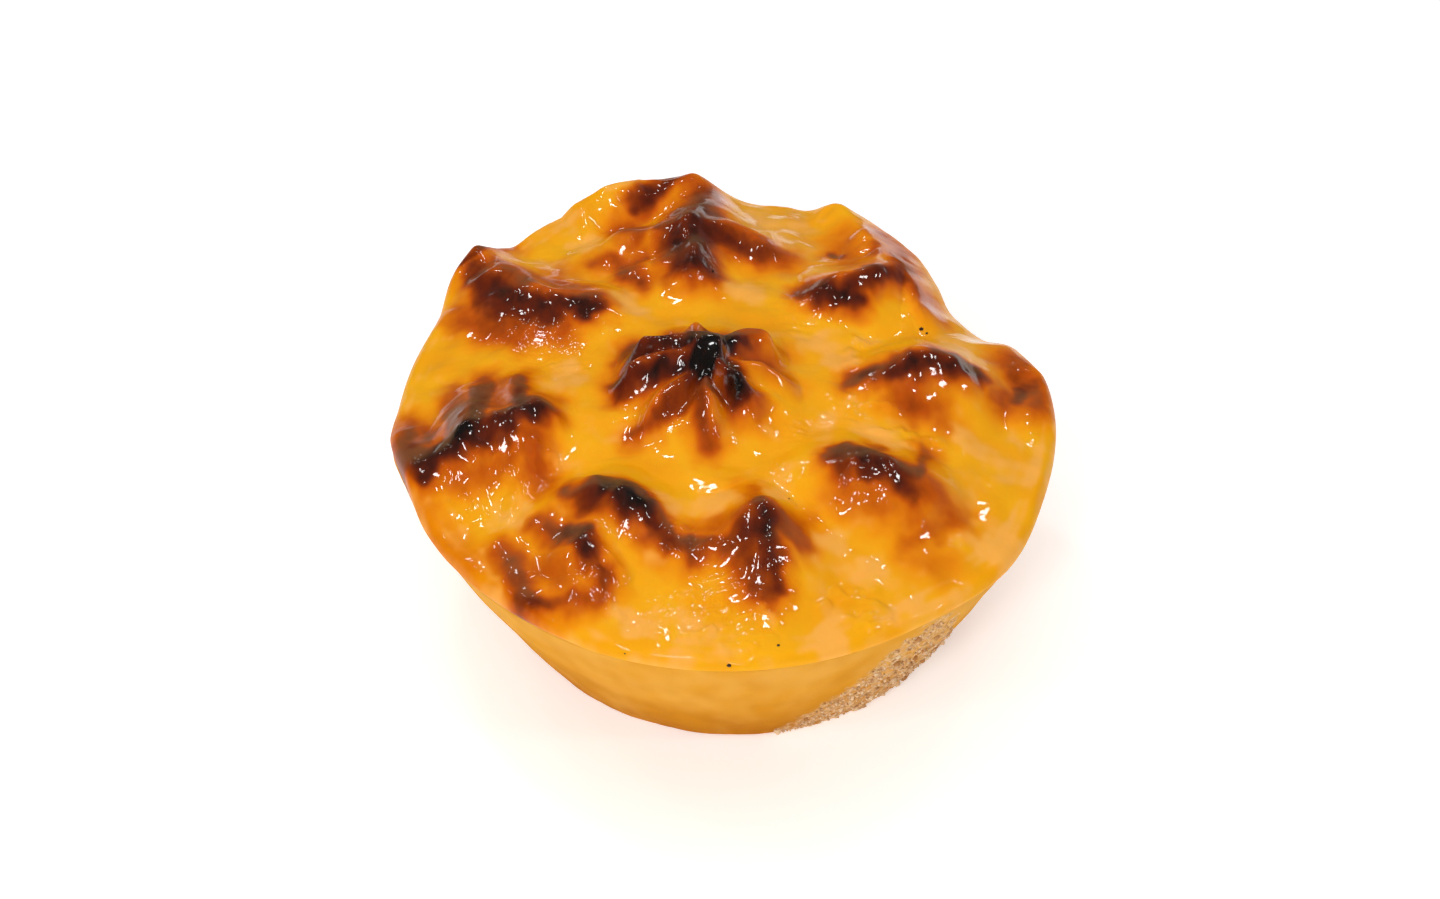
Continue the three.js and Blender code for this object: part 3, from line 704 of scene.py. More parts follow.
# %% Strokes of browning
# Each stroke is [reach, [x, y, strength], ...] with its lengths in mm. A strength of 1 is black.
BROWNING = {
    "back": [
        [3.2, [-3, 36, 0.52], [-2.8, 33, 0.62], [-3.2, 29.5, 0.74], [-3.6, 26, 0.8], [-3.4, 22, 0.76],
         [-3.2, 19.3, 0.74]],
        [2.6, [-6.6, 26.4, 0.68], [-6.2, 23.4, 0.76], [-5.8, 20.4, 0.74], [-5.2, 18.4, 0.68]],
        [2.2, [-3.6, 18.6, 0.6], [-2, 18.2, 0.52]],
        [2.8, [-2, 26.2, 0.66], [1, 25.4, 0.66], [4.4, 24.4, 0.6], [7.4, 23.8, 0.46]],
        [2.4, [-6, 33, 0.44], [-6, 30, 0.48], [-6, 27.5, 0.52]],
        [2.8, [-12.6, 31, 0.42], [-12.4, 28.8, 0.5], [-11, 26.6, 0.46]],
        [2.1, [-10.9, 34.4, 0.68], [-9.6, 36.2, 0.76], [-7.4, 37.8, 0.62], [-4.6, 37.8, 0.42]],
        [2.2, [-12, 20.4, 0.5], [-10.2, 18.4, 0.52]],
        [2.4, [-13.5, 22.5, 0.38], [-10.5, 22.8, 0.4]],
    ],
    "back_right": [
        [1.9, [9.6, 16.6, 0.62], [11.4, 14.9, 0.74], [14.2, 14.9, 0.76]],
        [1.6, [14.2, 14.9, 0.76], [17.3, 16.5, 0.7], [19.8, 18.5, 0.72], [21.8, 19.6, 0.66]],
        [1.5, [13.6, 14.1, 0.72], [16, 14.2, 0.76]],
        [2.4, [22.5, 19.2, 0.5], [24.4, 18, 0.46], [25.2, 16.8, 0.42]],
        [2.6, [21.9, 27, 0.42], [22.1, 24, 0.44], [22, 21.4, 0.5]],
        [3.0, [14.5, 30, 0.24], [15.5, 25, 0.3], [16.5, 21, 0.3]],
        [1.2, [18.6, 26.6, 0.4], [18.9, 24, 0.42]],
        [1.2, [13.6, 26.5, 0.5], [14.2, 26.1, 0.5]],
        [2.8, [19.5, 30.5, 0.34], [22, 28.5, 0.36]],
    ],
    "right": [
        [1.9, [15.9, 1.2, 0.56], [19.1, 1.3, 0.7], [22.4, 1.5, 0.76]],
        [2.0, [22.4, 1.5, 0.76], [25.2, 2.4, 0.78], [28.1, 3.2, 0.82], [30, 4, 0.76]],
        [2.6, [20.8, -1.4, 0.42], [22.6, -2.2, 0.48], [24.6, -1.6, 0.36]],
        [2.2, [26, -1.5, 0.3], [26.4, -3.6, 0.28]],
        [1.3, [16.6, 1, 0.72], [17.6, 1.1, 0.74]],
        [2.8, [34.2, 9.6, 0.4], [35.8, 7, 0.52], [37, 4.4, 0.5]],
        [1.2, [35.6, 4.4, 0.64], [35.7, 1.6, 0.6]],
        [2.4, [33.8, 3, 0.42], [34.2, 1, 0.38]],
        [2.4, [37.6, 5, 0.5], [37.8, 1.5, 0.42]],
    ],
    "front_right": [
        [2.1, [14, -13.3, 0.74], [16.6, -14.8, 0.8], [19.4, -16, 0.78], [21.4, -17, 0.68]],
        [1.5, [16.6, -13.6, 0.7], [19.4, -14.9, 0.7], [22.4, -14.7, 0.6]],
        [1.9, [13.2, -13.6, 0.66], [14.1, -15, 0.62]],
        [1.2, [18.3, -10.6, 0.4], [18.1, -13, 0.48]],
        [1.2, [24, -8.4, 0.4], [23.4, -12, 0.46], [22.9, -14.5, 0.5]],
        [2.8, [22.8, -16.4, 0.46], [25.4, -17.2, 0.42], [27.2, -18, 0.34]],
        [3.0, [14.6, -17, 0.3], [18.4, -18.4, 0.36], [22, -19.2, 0.34]],
        [1.6, [26.8, -18.6, 0.38], [24.4, -20.4, 0.36], [21.4, -22.6, 0.32]],
        [2.6, [22.8, -23.4, 0.18], [25.6, -24.2, 0.18]],
    ],
    "front": [
        [1.9, [4.6, -23.6, 0.82], [6, -23.7, 0.8]],
        [1.8, [5.2, -24.4, 0.8], [5.5, -26.6, 0.78], [5.7, -28.6, 0.72], [6.1, -30.8, 0.7]],
        [2.6, [3.2, -25.4, 0.66], [3, -27.4, 0.6], [4.2, -29.6, 0.62]],
        [1.7, [4, -25.4, 0.6], [0, -26.2, 0.52], [-3, -26.3, 0.54], [-6, -25.3, 0.54]],
        [2.6, [-2.5, -23.6, 0.28], [1.5, -23.2, 0.34], [3.6, -22.8, 0.42]],
        [1.2, [3.6, -17.4, 0.28], [3.6, -20, 0.34], [3.7, -22.6, 0.4]],
        [2.1, [7.2, -24, 0.46], [9, -22.4, 0.34], [9.8, -21.4, 0.28]],
        [1.6, [8.4, -24.6, 0.46], [9.2, -24.9, 0.42]],
    ],
    "front_left": [
        [2.6, [-13.4, -19.7, 0.95], [-11.3, -20.7, 1.1], [-8.8, -22.1, 0.95]],
        [1.8, [-17.8, -18.2, 0.5], [-16.2, -19.6, 0.62], [-14.6, -20.6, 0.74]],
        [1.9, [-17.2, -24, 0.72], [-15.9, -25.2, 0.86], [-15.2, -26.6, 0.82]],
        [2.0, [-20.8, -21.6, 0.5], [-19.2, -22.8, 0.54], [-17.6, -23.6, 0.6]],
        [1.7, [-14.8, -27.6, 0.62], [-13.6, -29, 0.56], [-13, -30.6, 0.52]],
        [1.5, [-22.8, -30.2, 0.56], [-21.2, -31.6, 0.64], [-19, -32, 0.52], [-15.8, -31.8, 0.46],
         [-13.6, -30.8, 0.48]],
        [2.2, [-24.8, -24.4, 0.42], [-23.6, -26.6, 0.5], [-22.6, -28.8, 0.5]],
        [1.5, [-8.4, -23.2, 0.76], [-6.6, -24.3, 0.62], [-4, -25.6, 0.6]],
        [3.0, [-20, -27, 0.32], [-17.5, -29, 0.34]],
    ],
    "left": [
        [1.9, [-35.4, -11.4, 0.8], [-33.2, -10.8, 0.86], [-30.4, -9.6, 0.84]],
        [1.5, [-34.8, -12.9, 0.8], [-31.2, -11.2, 0.84], [-27.6, -10, 0.74], [-24.4, -9, 0.72]],
        [1.5, [-30.4, -9.4, 0.86], [-27.7, -8.9, 0.78], [-25, -8.4, 0.8], [-22.8, -7.2, 0.88],
         [-20.8, -6.6, 0.74]],
        [1.8, [-23.6, -6.2, 0.82], [-21.4, -6.2, 0.7]],
        [1.6, [-24.4, 1.6, 0.42], [-24.2, -1.6, 0.62], [-24.2, -5.5, 0.74]],
        [1.7, [-28.6, 2.6, 0.46], [-28.6, -1, 0.68], [-28.6, -5, 0.74], [-29, -8, 0.82]],
        [2.4, [-32.2, 0.6, 0.4], [-31.8, -3, 0.54], [-31.2, -7, 0.6]],
        [2.8, [-37.2, -3.4, 0.42], [-37.4, -7, 0.54], [-36.6, -10.4, 0.64]],
        [2.2, [-26.4, 1, 0.36], [-26.4, -6, 0.42]],
        [1.6, [-34.8, -4, 0.42], [-34.6, -8, 0.52]],
        [2.6, [-33, -13.4, 0.38], [-29, -13.4, 0.36], [-25, -11.6, 0.34], [-21.6, -9.6, 0.3]],
        [2.4, [-22.6, -9.6, 0.4], [-21.4, -13, 0.38], [-21, -16, 0.3]],
        [1.8, [-21, -3.4, 0.3], [-19.6, -2.8, 0.28]],
    ],
    "back_left": [
        [2.0, [-31.2, 22, 0.6], [-30, 19.2, 0.74], [-28.2, 16.6, 0.8], [-25.6, 14.4, 0.82],
         [-22.6, 13.1, 0.8], [-19.2, 12.2, 0.86], [-16.8, 11.8, 0.84], [-15.4, 12.4, 0.76]],
        [2.1, [-30.2, 17, 0.6], [-28, 13.8, 0.66], [-24.6, 12.3, 0.7], [-20.6, 11, 0.62]],
        [2.6, [-31.4, 14.4, 0.42], [-28.4, 11.4, 0.48], [-24, 9.8, 0.44], [-19.6, 9.2, 0.4]],
        [2.8, [-28.6, 21.6, 0.44], [-26.6, 18.6, 0.5], [-24.6, 16, 0.56]],
        [3.0, [-21, 22, 0.28], [-20.4, 17.6, 0.34], [-18.4, 14.6, 0.42]],
        [1.6, [-32.4, 24, 0.5], [-29.6, 26.6, 0.42], [-27.4, 28.6, 0.36]],
        [1.1, [-33, 23.6, 0.6], [-31, 24.2, 0.62], [-29.8, 25.6, 0.5]],
        [2.0, [-33, 15.6, 0.34], [-32.4, 13.4, 0.32]],
        [1.9, [-16, 23.2, 0.38], [-13.4, 23, 0.42]],
        [2.4, [-25, 19.4, 0.4], [-20.8, 18, 0.42], [-17, 16.4, 0.36]],
    ],
    "lip": [
        [2.8, [-37, -12, 0.22], [-33.4, -20, 0.22], [-27.2, -27.4, 0.16], [-20, -33.2, 0.1]],
    ],
    "star": [
        [1.9, [-0.8, 1, 1.1], [-1.8, -1, 1.2], [-3, -2.4, 1.1]],
        [1.1, [-1, 0, 1], [0.8, 0.6, 0.95], [2.6, 1.8, 0.72]],
        [1.1, [-3.3, -2.8, 1.05], [-2.4, -2.9, 1]],
        [2.2, [-2.2, 0.8, 0.9], [-1, 3, 0.86], [-0.6, 5.5, 0.7]],
        [1.6, [1.4, 1, 0.62], [3, 2.4, 0.46], [5, 4, 0.36], [6.6, 5, 0.26]],
        [1.4, [1.2, -3.2, 0.8], [1.9, -4.4, 0.92], [2.9, -5, 0.8]],
        [1.6, [0.2, -2.2, 0.8], [1.2, -3.2, 0.78], [1.7, -4.2, 0.74]],
        [1.6, [-3.6, -4, 0.62], [-2, -4.2, 0.6], [0, -4.8, 0.6], [1.6, -5.6, 0.46]],
        [2.4, [-10.4, 5.6, 0.62], [-10.8, 3.4, 0.66], [-11, 1.4, 0.64]],
        [1.9, [-10.8, 0.8, 0.74], [-8.6, 1, 0.84], [-6.2, 0.7, 0.86], [-4.2, 0.3, 0.9]],
        [2.2, [-6.4, 5.6, 0.64], [-5, 3.4, 0.7]],
        [1.4, [-12.4, -1.4, 0.6], [-11.4, -0.4, 0.62]],
        [1.3, [-12.2, -2, 0.72], [-10, -1.9, 0.8], [-7.6, -1.7, 0.84], [-4.8, -2.1, 0.86]],
        [1.5, [-4, -4.6, 0.58], [-6.8, -6.4, 0.6], [-10, -8.6, 0.5]],
        [1.7, [-2.6, -5.6, 0.54], [-2.3, -8, 0.56], [-1.6, -10.6, 0.5]],
        [1.9, [2.6, 0.2, 0.46], [5, 0.6, 0.42], [7.2, 0, 0.34]],
        [2.2, [1.4, -6, 0.4], [3.6, -5.8, 0.36]],
        [2.8, [-8.4, -4.4, 0.24], [-5.6, -4.6, 0.3]],
        [3.0, [-6, 2, 0.4], [0, 1, 0.4], [0, -4, 0.34]],
    ],
}
STROKE_BLEND = 6  # the power that melts the strokes together
STROKE_CORE = {"reach": 1.25, "share": 0.45}  # the dark core of a stroke
STROKE_TAIL = 2.3  # how many mm further than its reach a stroke fades out
STROKE_WANDER = [[2.6, 0.7], [1.1, 0.2]]  # [width, push] in mm of the noise that bends a stroke
BLOTCHES = [[2.2, 0.13], [0.8, 0.06]]  # [width in mm, share] of the uneven strength
FLAT_BROWNING = 0.05  # the faint, uneven browning of the flat custard
FLAT_WIDTH = 6


def stroke_strength(x, y, reach, points):
    """Strength of one stroke at each place"""
    strength = np.zeros_like(x)
    for (*start, first), (*end, last) in zip(points, points[1:]):
        share, away = along_line(x, y, start, end)
        core = np.maximum(0, 1 - (away / (STROKE_CORE["reach"] * reach)) ** 2) ** 2
        tail = np.maximum(0, 1 - (away / (reach + STROKE_TAIL)) ** 2) ** 2
        here = STROKE_CORE["share"] * core + (1 - STROKE_CORE["share"]) * tail
        strength = np.maximum(strength, here * (first + (last - first) * share))
    return strength


def browning(x, y):
    """How brown the custard's top is, from 0 to 1"""
    wx, wy = x.copy(), y.copy()
    for layer, (width, push) in enumerate(STROKE_WANDER):
        wx += push * noise(x / width, y / width, 60 + layer)
        wy += push * noise(x / width, y / width, 70 + layer)
    strokes = [stroke_strength(wx, wy, reach, points)
               for shell in BROWNING.values() for reach, *points in shell]
    brown = melt(strokes, STROKE_BLEND)
    for layer, (width, share) in enumerate(BLOTCHES):
        brown *= 1 + share * noise(x / width, y / width, 80 + layer)
    brown += FLAT_BROWNING * (0.5 + noise(x / FLAT_WIDTH, y / FLAT_WIDTH, 84))
    return np.clip(brown, 0, 1)


print(sum(len(shell) for shell in BROWNING.values()), "strokes of browning")

# %% [markdown]
# ## Pale patches: painted sheen and a paler lip
#
# Between the shells the custard isn't one flat yellow. Soft pale patches a few millimetres wide,
# most of all round the foot of the star, are a painted sheen: the soft reflection of the bright room
# in the flats, painted into the colour. The custard at the lip is paler, in streaks along it.
# Browning hides both. The patches are placed like the blisters, as soft spots with a reach, and noise
# tears their edges.

# %% Pale patches: painted sheen and the paler lip
# Spots of painted sheen: [radius, bearing in degrees, reach]
SHEEN_SPOTS = [
    [31, 79, 8], [34.5, 122, 5], [31, 133, 4.5], [17, 81, 4], [17, 127, 4.5], [19.5, 176, 5],
    [21.5, 214, 4.5], [13, 35, 4], [16.5, 18, 5], [28.5, 16, 6.5], [13.5, 342, 4], [20, 337, 6],
    [30, 349, 3.5], [35.5, 346, 6], [37.5, 326, 6], [19, 288, 5.5], [27.5, 298, 6], [36.5, 305, 5],
    [32, 305, 3.5], [37, 290, 4], [27.5, 254, 3.5], [35.5, 254, 3.5], [35, 266, 4], [20.5, 254, 4],
    [18.5, 269, 4.5], [31, 218, 4.5],
]
SHEEN_WANDER = [[1.1, 3, 3, 90], [1.1, 3, 3, 91]]  # pushes the spots about, in x and in y
SHEEN_CLOUD = [[0.65, 4.2, 4.2, 92], [0.35, 1.6, 1.6, 93]]
SHEEN_SPOT = 0.8  # how much a spot counts
MILK_LIP = 0.36  # how much the lip counts
# All this adds up to pale: painted sheen in the spots and clouds, paler custard at the lip
SHEEN_AND_MILK_SHOWS = (0.15, 1.0)  # where all this adds up to milk
SHEEN_AND_MILK_HIDDEN = (0.1, 0.3)  # how brown the skin is where the milk starts to hide, and where it is gone
LIP_BAND = 5
LIP_STREAK = {"length": 5, "width": 0.9, "strength": 0.5}


def sheen_and_milk_share(x, y, inwards, brown):
    """How pale the top is, from 0 to 1: painted sheen in patches, paler custard at the lip"""
    wx, wy = (place + hills(x, y, [layer]) for place, layer in zip((x, y), SHEEN_WANDER))
    lip = MILK_LIP * (1 - smooth_step(inwards, 0, LIP_BAND))
    streaks = LIP_STREAK["strength"] * noise(x / LIP_STREAK["length"], inwards / LIP_STREAK["width"], 101)
    lip += streaks * (1 - smooth_step(inwards, LIP_BAND / 2, LIP_BAND))
    sheen_and_milk_here = smooth_step(SHEEN_SPOT * spotted(wx, wy, SHEEN_SPOTS) + lip + hills(x, y, SHEEN_CLOUD), *SHEEN_AND_MILK_SHOWS)
    return sheen_and_milk_here * (1 - smooth_step(brown, *SHEEN_AND_MILK_HIDDEN))


print(len(SHEEN_SPOTS), "milky patches")

# %% [markdown]
# ## Painted back sheen and wet glaze
#
# The glaze was brushed on from the middle and ran off the slopes to the front, so it is thin at the
# lip and nearly gone on the backs. On the browned tops and backs a dull grey brown is painted into
# the colour: a painted sheen, where these slopes, seen at a grazing angle, mirror the pale room.
# Both are worked out from how steeply the piping climbs, and stored on the mesh. A wide step
# measures that climb for the painted sheen, so that it spreads over a whole crest.

# %% Painted back sheen and glaze
SLOPE_STEP = 0.5
BACK_SHEEN_STEP = 2
# The grey brown painted sheen, a reflection painted into the colour, fades out between these climbs
BACK_SHEEN_CLIMB = (-0.1, 0.3)  # the film fades out between these climbs
BACK_SHEEN_BROWN = (0.3, 0.6)  # and it needs skin at least this brown
BACK_SHEEN_MEAN = 0.85  # the mean share that it covers
BACK_SHEEN_GAPS = [[0.8, 2.4, 2.4, 102]]
# No painted sheen is laid at the star's left
NO_BACK_SHEEN = [[-8, 1, 8]]  # where no film dried, at the star's left: [x, y, reach] in mm
# The glaze is thinner under the painted sheen
BACK_SHEEN_DULLS = 0.6  # the share of the glaze that the film covers
DRY_BACK = 0.12  # the share of the glaze that stayed on backs
DRY_LIP = {"glaze": 0.15, "from": 0.5, "to": 2.6, "waver": 0.6, "width": 2}


def painted_back_sheen(x, y, brown):
    """How much grey brown painted sheen lies on the browned backs, from 0 to 1"""
    sheen_allowed = 1 - sum(swell_height(x, y, (at_x, at_y), reach, 1) for at_x, at_y, reach in NO_BACK_SHEEN)
    backs = 1 - smooth_step(climb(x, y, BACK_SHEEN_STEP), *BACK_SHEEN_CLIMB)
    return patchy(x, y, BACK_SHEEN_MEAN, BACK_SHEEN_GAPS) * sheen_allowed * backs * smooth_step(brown, *BACK_SHEEN_BROWN)


def glaze_cover(x, y, inwards, climbs, back_sheen):
    """How much wet glaze lies on the skin, from 0 to 1"""
    wavering = inwards + DRY_LIP["waver"] * noise(x / DRY_LIP["width"], y / DRY_LIP["width"], 94)
    glaze = DRY_LIP["glaze"] + (1 - DRY_LIP["glaze"]) * smooth_step(wavering, DRY_LIP["from"], DRY_LIP["to"])
    return glaze * spare_backs(climbs, DRY_BACK) * (1 - BACK_SHEEN_DULLS * back_sheen)


print("the film fades out over a climb of", BACK_SHEEN_CLIMB)

# %% [markdown]
# ## A skin from rings
#
# Both solids are turned shapes, so their mesh is a stack of closed rings from one end point to the
# other, stitched into one skin. On the top, ring n has six times n points, which keeps all
# triangles about equal in size: a plain polar grid would crowd them in the middle and stretch them
# at the edge, and the fine relief would look combed.

# %% Stitching rings into a mesh


def ring(radius, bearing, height, shift=0):
    """The points of one ring"""
    x, y = polar(radius, bearing)
    return np.stack([x + shift, y, height + 0 * x], axis=1)


def bearings(count):
    """Evenly spaced bearings round the tart"""
    return np.arange(count) * 360 / count


def stitched(rings):
    """The triangles that join neighbouring rings, from one end point to the other"""
    triangles = []
    start = 0
    for inner, outer in zip([len(r) for r in rings], [len(r) for r in rings[1:]]):
        i = j = 0
        while i < inner or j < outer:
            outer_next = i >= inner or (j < outer and (j + 1) * inner <= (i + 1) * outer)
            at_inner = start + i % inner
            at_outer = start + inner + j % outer
            if outer_next and outer > 1:
                triangles.append((at_inner, at_outer, start + inner + (j + 1) % outer))
            if not outer_next and inner > 1:
                triangles.append((at_inner, at_outer, start + (i + 1) % inner))
            if outer_next:
                j += 1
            else:
                i += 1
        start += inner
    return triangles


def mesh_piece(name, points, triangles, attributes=None):
    """A smooth mesh object from points in mm, with a value per point for each named attribute"""
    mesh = bpy.data.meshes.new(name)
    mesh.from_pydata((np.asarray(points) * MM).tolist(), [], triangles)
    mesh.polygons.foreach_set("use_smooth", np.ones(len(mesh.polygons), dtype=bool))
    for attribute, values in (attributes or {}).items():
        layer = mesh.attributes.new(attribute, "FLOAT", "POINT")
        layer.data.foreach_set("value", np.asarray(values, dtype=np.float32))
    mesh.update()
    piece = bpy.data.objects.new(name, mesh)
    bpy.context.collection.objects.link(piece)
    print(f"{name}: {len(mesh.vertices)} points, {len(mesh.polygons)} faces")
    return piece


# %% [markdown]
# ## The custard
#
# From the middle outwards: the piped top with its relief, the lip that rolls over the crust's edge
# as a quarter round, the low side below it, and then the plug that fills the cup and never shows.
# The lip gets rings of its own, stepped by angle, so that it stays round.

# %% Form of the crust's wall
CRUST_HEIGHT = 25.4
RIM_DROP = 1.6
CRUST_WALL = 2.4
CRUST_FLOOR = 2.6
BASE_RADIUS = 27.3
WALL_BULGE = 0.4
BASE_SHIFT = 1.6
CRUST_INSET = 0.3


def rim_height(bearing):
    """Height of the crust's rim, lower where the custard's edge is low"""
    return np.minimum(CRUST_HEIGHT, top_height(edge_radius(bearing), bearing) - RIM_DROP)


def wall_radius(bearing, height):
    """Radius of the crust's outer wall at a height"""
    share = 1 - height / CRUST_HEIGHT
    top = edge_radius(bearing) - CRUST_INSET
    return top + (BASE_RADIUS - top) * share + WALL_BULGE * np.sin(np.pi * share)


def wall_shift(height):
    """How far the wall leans to the right at a height"""
    return BASE_SHIFT * (1 - height / CRUST_HEIGHT)


print("the base is", 2 * BASE_RADIUS, "mm across")

# %% Rings of the custard
SIDE_INSET = 0.3
GAP = 0.3
TOP_RINGS = 164
LIP_RINGS = 7
SIDE_RINGS = 3
PLUG_COLUMNS = 360


def custard_rings():
    """The custard's rings, and how far inside the edge each point of the top lies"""
    rings, inside = [], []

    def add_ring(points, inwards):
        rings.append(points)
        inside.append(inwards)

    add_ring(ring(np.zeros(1), np.zeros(1), top_height(np.zeros(1), np.zeros(1))), np.array([EDGE_RADIUS]))
    for step in range(1, TOP_RINGS + 1):
        at = bearings(6 * step)
        edge = edge_radius(at)
        radius = (edge - LIP_RADIUS) * step / TOP_RINGS
        add_ring(ring(radius, at, top_height(radius, at)), edge - radius)
    at = bearings(6 * TOP_RINGS)
    edge = edge_radius(at)
    for turn in np.linspace(0, math.pi / 2, LIP_RINGS + 1)[1:]:
        inwards = LIP_RADIUS * (1 - math.sin(turn))
        radius = edge - inwards
        height = top_height(radius, at) - LIP_RADIUS * (1 - math.cos(turn))
        add_ring(ring(radius, at, height), inwards + 0 * at)
    lip_bottom = rings[-1][:, 2]
    ledge = rim_height(at) + GAP
    for share in np.linspace(0, 1, SIDE_RINGS + 1)[1:]:
        height = lip_bottom + (ledge - lip_bottom) * share
        add_ring(ring(edge - SIDE_INSET * share ** 2, at, height), np.zeros_like(at))
    inset = CRUST_WALL + GAP
    bottom = CRUST_FLOOR + GAP
    at = bearings(PLUG_COLUMNS)
    rim = rim_height(at)
    add_ring(ring(wall_radius(at, rim) - inset, at, rim + GAP, wall_shift(rim)), np.zeros_like(at))
    for height in (CRUST_HEIGHT / 2, bottom):
        add_ring(ring(wall_radius(at, height) - inset, at, height, wall_shift(height)), np.zeros_like(at))
    add_ring(np.array([[wall_shift(bottom), 0, bottom]]), np.zeros(1))
    return rings, inside


custard_skin, inside = custard_rings()
print(len(custard_skin), "rings of custard")

# %% The custard's skin
inside = np.concatenate(inside)
points = np.concatenate(custard_skin)
on_top = inside > 0
x, y = points[:, 0].copy(), points[:, 1].copy()
blistered = np.where(on_top, blistering(x, y), 0)
shown = points[:, 2] > CRUST_HEIGHT - NOTCH["depth"]
brown = np.where(shown, browning(x, y), 0)
climbs = climb(x, y, SLOPE_STEP)
points[:, 2] += np.where(on_top, skin_relief(x, y, inside, blistered, brown, climbs), 0)
# Pale painted sheen in patches on the flats, and the paler lip
sheen_and_milk = np.where(shown, sheen_and_milk_share(x, y, inside, brown), 0)
# Grey brown painted sheen on the browned backs, standing in for a grazing reflection
back_sheen = np.where(on_top, painted_back_sheen(x, y, brown), 0)
glaze = glaze_cover(x, y, inside, climbs, back_sheen)

# The tart is moved so that its middle, in x and y, lies where the custard solid's middle lies
own_middle = (points.min(axis=0) + points.max(axis=0)) / 2
cad_middle = np.mean(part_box("custard"), axis=0) / MM
centring = np.array([cad_middle[0] - own_middle[0], cad_middle[1] - own_middle[1], 0])
custard_points = points
custard = mesh_piece("custard_top", points + centring, stitched(custard_skin), {
    "browning": brown, "sheen_and_milk": sheen_and_milk, "blistered": blistered, "glaze": glaze, "back_sheen": back_sheen})
print("moved by", centring.round(2), "mm; browned", round(float((brown > 0.3).mean()), 2), "of the skin")

# %% [markdown]
# ## Glazed custard
#
# Set egg custard is a soft yellow gel that lets light in for a couple of millimetres, so it gets
# subsurface scattering. Over it lies a brushed sugar glaze: a clear coat, smooth enough to mirror a
# lamp as a small bright spot, with a skin of its own that beads over the blisters. Browned milk and
# sugar go from amber through red brown to black, and the darker they are the less light comes back
# out. The colours are read off a ramp by the browning on the mesh, frayed a little by a fine noise.
# Over it are mixed a pale painted sheen with the paler lip, and a grey brown painted sheen on backs.

# %% Colours of the custard
BROWNING_COLOURS = [
    [0.0, "#faaf14"], [0.12, "#f29609"], [0.27, "#de7605"], [0.42, "#c25404"], [0.56, "#923b06"],
    [0.7, "#6c240a"], [0.85, "#43190f"], [1.0, "#120e0d"],
]
# The pale colour of the painted sheen patches and of the paler lip
SHEEN_AND_MILK = {"colour": "#ffb350", "cover": 0.85}
# The grey brown colour of the painted sheen on the browned backs
BACK_SHEEN = {"colour": "#7c5838", "cover": 0.55}
GRAIN_WIDTH = 1.1
FRAY = 0.03  # the share by which the grain makes the browning more or less

glazed, tree, output = new_material("glazed_egg_custard")
place = add_node(tree, "ShaderNodeTexCoord").outputs["Object"]
place_mm = add_node(tree, "ShaderNodeVectorMath", {"operation": "SCALE"}, {
    "Vector": place, "Scale": 1 / MM}).outputs["Vector"]
brown, sheen_and_milk, back_sheen, blistered, glaze = (
    add_node(tree, "ShaderNodeAttribute", {"attribute_name": name}).outputs["Fac"]
    for name in ("browning", "sheen_and_milk", "back_sheen", "blistered", "glaze"))
grain = add_node(tree, "ShaderNodeTexNoise", {}, {
    "Vector": place_mm, "Scale": 1 / GRAIN_WIDTH, "Detail": 4.0, "Roughness": 0.6}).outputs["Fac"]
fray = add_node(tree, "ShaderNodeMapRange", {}, {
    "Value": grain, "From Min": 0.3, "From Max": 0.7, "To Min": 1 - FRAY, "To Max": 1 + FRAY})
frayed = add_node(tree, "ShaderNodeMath", {"operation": "MULTIPLY"}, {0: brown, 1: fray.outputs["Result"]})
ramp = add_node(tree, "ShaderNodeValToRGB", {}, {"Fac": frayed.outputs["Value"]})
while len(ramp.color_ramp.elements) < len(BROWNING_COLOURS):
    ramp.color_ramp.elements.new(0.5)
for element, (position, colour) in zip(ramp.color_ramp.elements, BROWNING_COLOURS):
    element.position = position
    element.color = linear(colour)
custard_colour = ramp.outputs["Color"]
# Both painted sheens, pale on the flats and grey brown on the backs, are mixed into the colour
for amount, layer in ((sheen_and_milk, SHEEN_AND_MILK), (back_sheen, BACK_SHEEN)):
    cover = add_node(tree, "ShaderNodeMath", {"operation": "MULTIPLY"}, {0: amount, 1: layer["cover"]})
    custard_colour = add_node(tree, "ShaderNodeMix", {"data_type": "RGBA"}, {
        0: cover.outputs["Value"], 6: custard_colour, 7: linear(layer["colour"])}).outputs[2]
print(len(BROWNING_COLOURS), "stages of browning")

# %% Skin of the custard and of its glaze
PORE_WIDTH = 0.55
PORE_DEPTH = 0.08
BUBBLE_WIDTH = 0.55
BUBBLE_HEIGHT = 0.035
PORES_IN_GLAZE = 0.2  # how much of the pores still shows in the glaze

pores = add_node(tree, "ShaderNodeTexNoise", {}, {
    "Vector": place_mm, "Scale": 1 / PORE_WIDTH, "Detail": 2.0, "Roughness": 0.5}).outputs["Fac"]
pucker = add_node(tree, "ShaderNodeBump", {}, {"Strength": 0.6, "Distance": PORE_DEPTH * MM, "Height": pores})
from_middle = add_node(tree, "ShaderNodeTexVoronoi", {}, {
    "Vector": place_mm, "Scale": 1 / BUBBLE_WIDTH}).outputs["Distance"]
bubble = add_node(tree, "ShaderNodeMapRange", {"interpolation_type": "SMOOTHSTEP"}, {
    "Value": from_middle, "From Min": 0.5, "From Max": 0.0}).outputs["Result"]
bubbles = add_node(tree, "ShaderNodeMath", {"operation": "MULTIPLY"}, {0: blistered, 1: bubble})
glaze_height = add_node(tree, "ShaderNodeMath", {"operation": "MULTIPLY_ADD"}, {
    0: pores, 1: PORES_IN_GLAZE, 2: bubbles.outputs["Value"]})
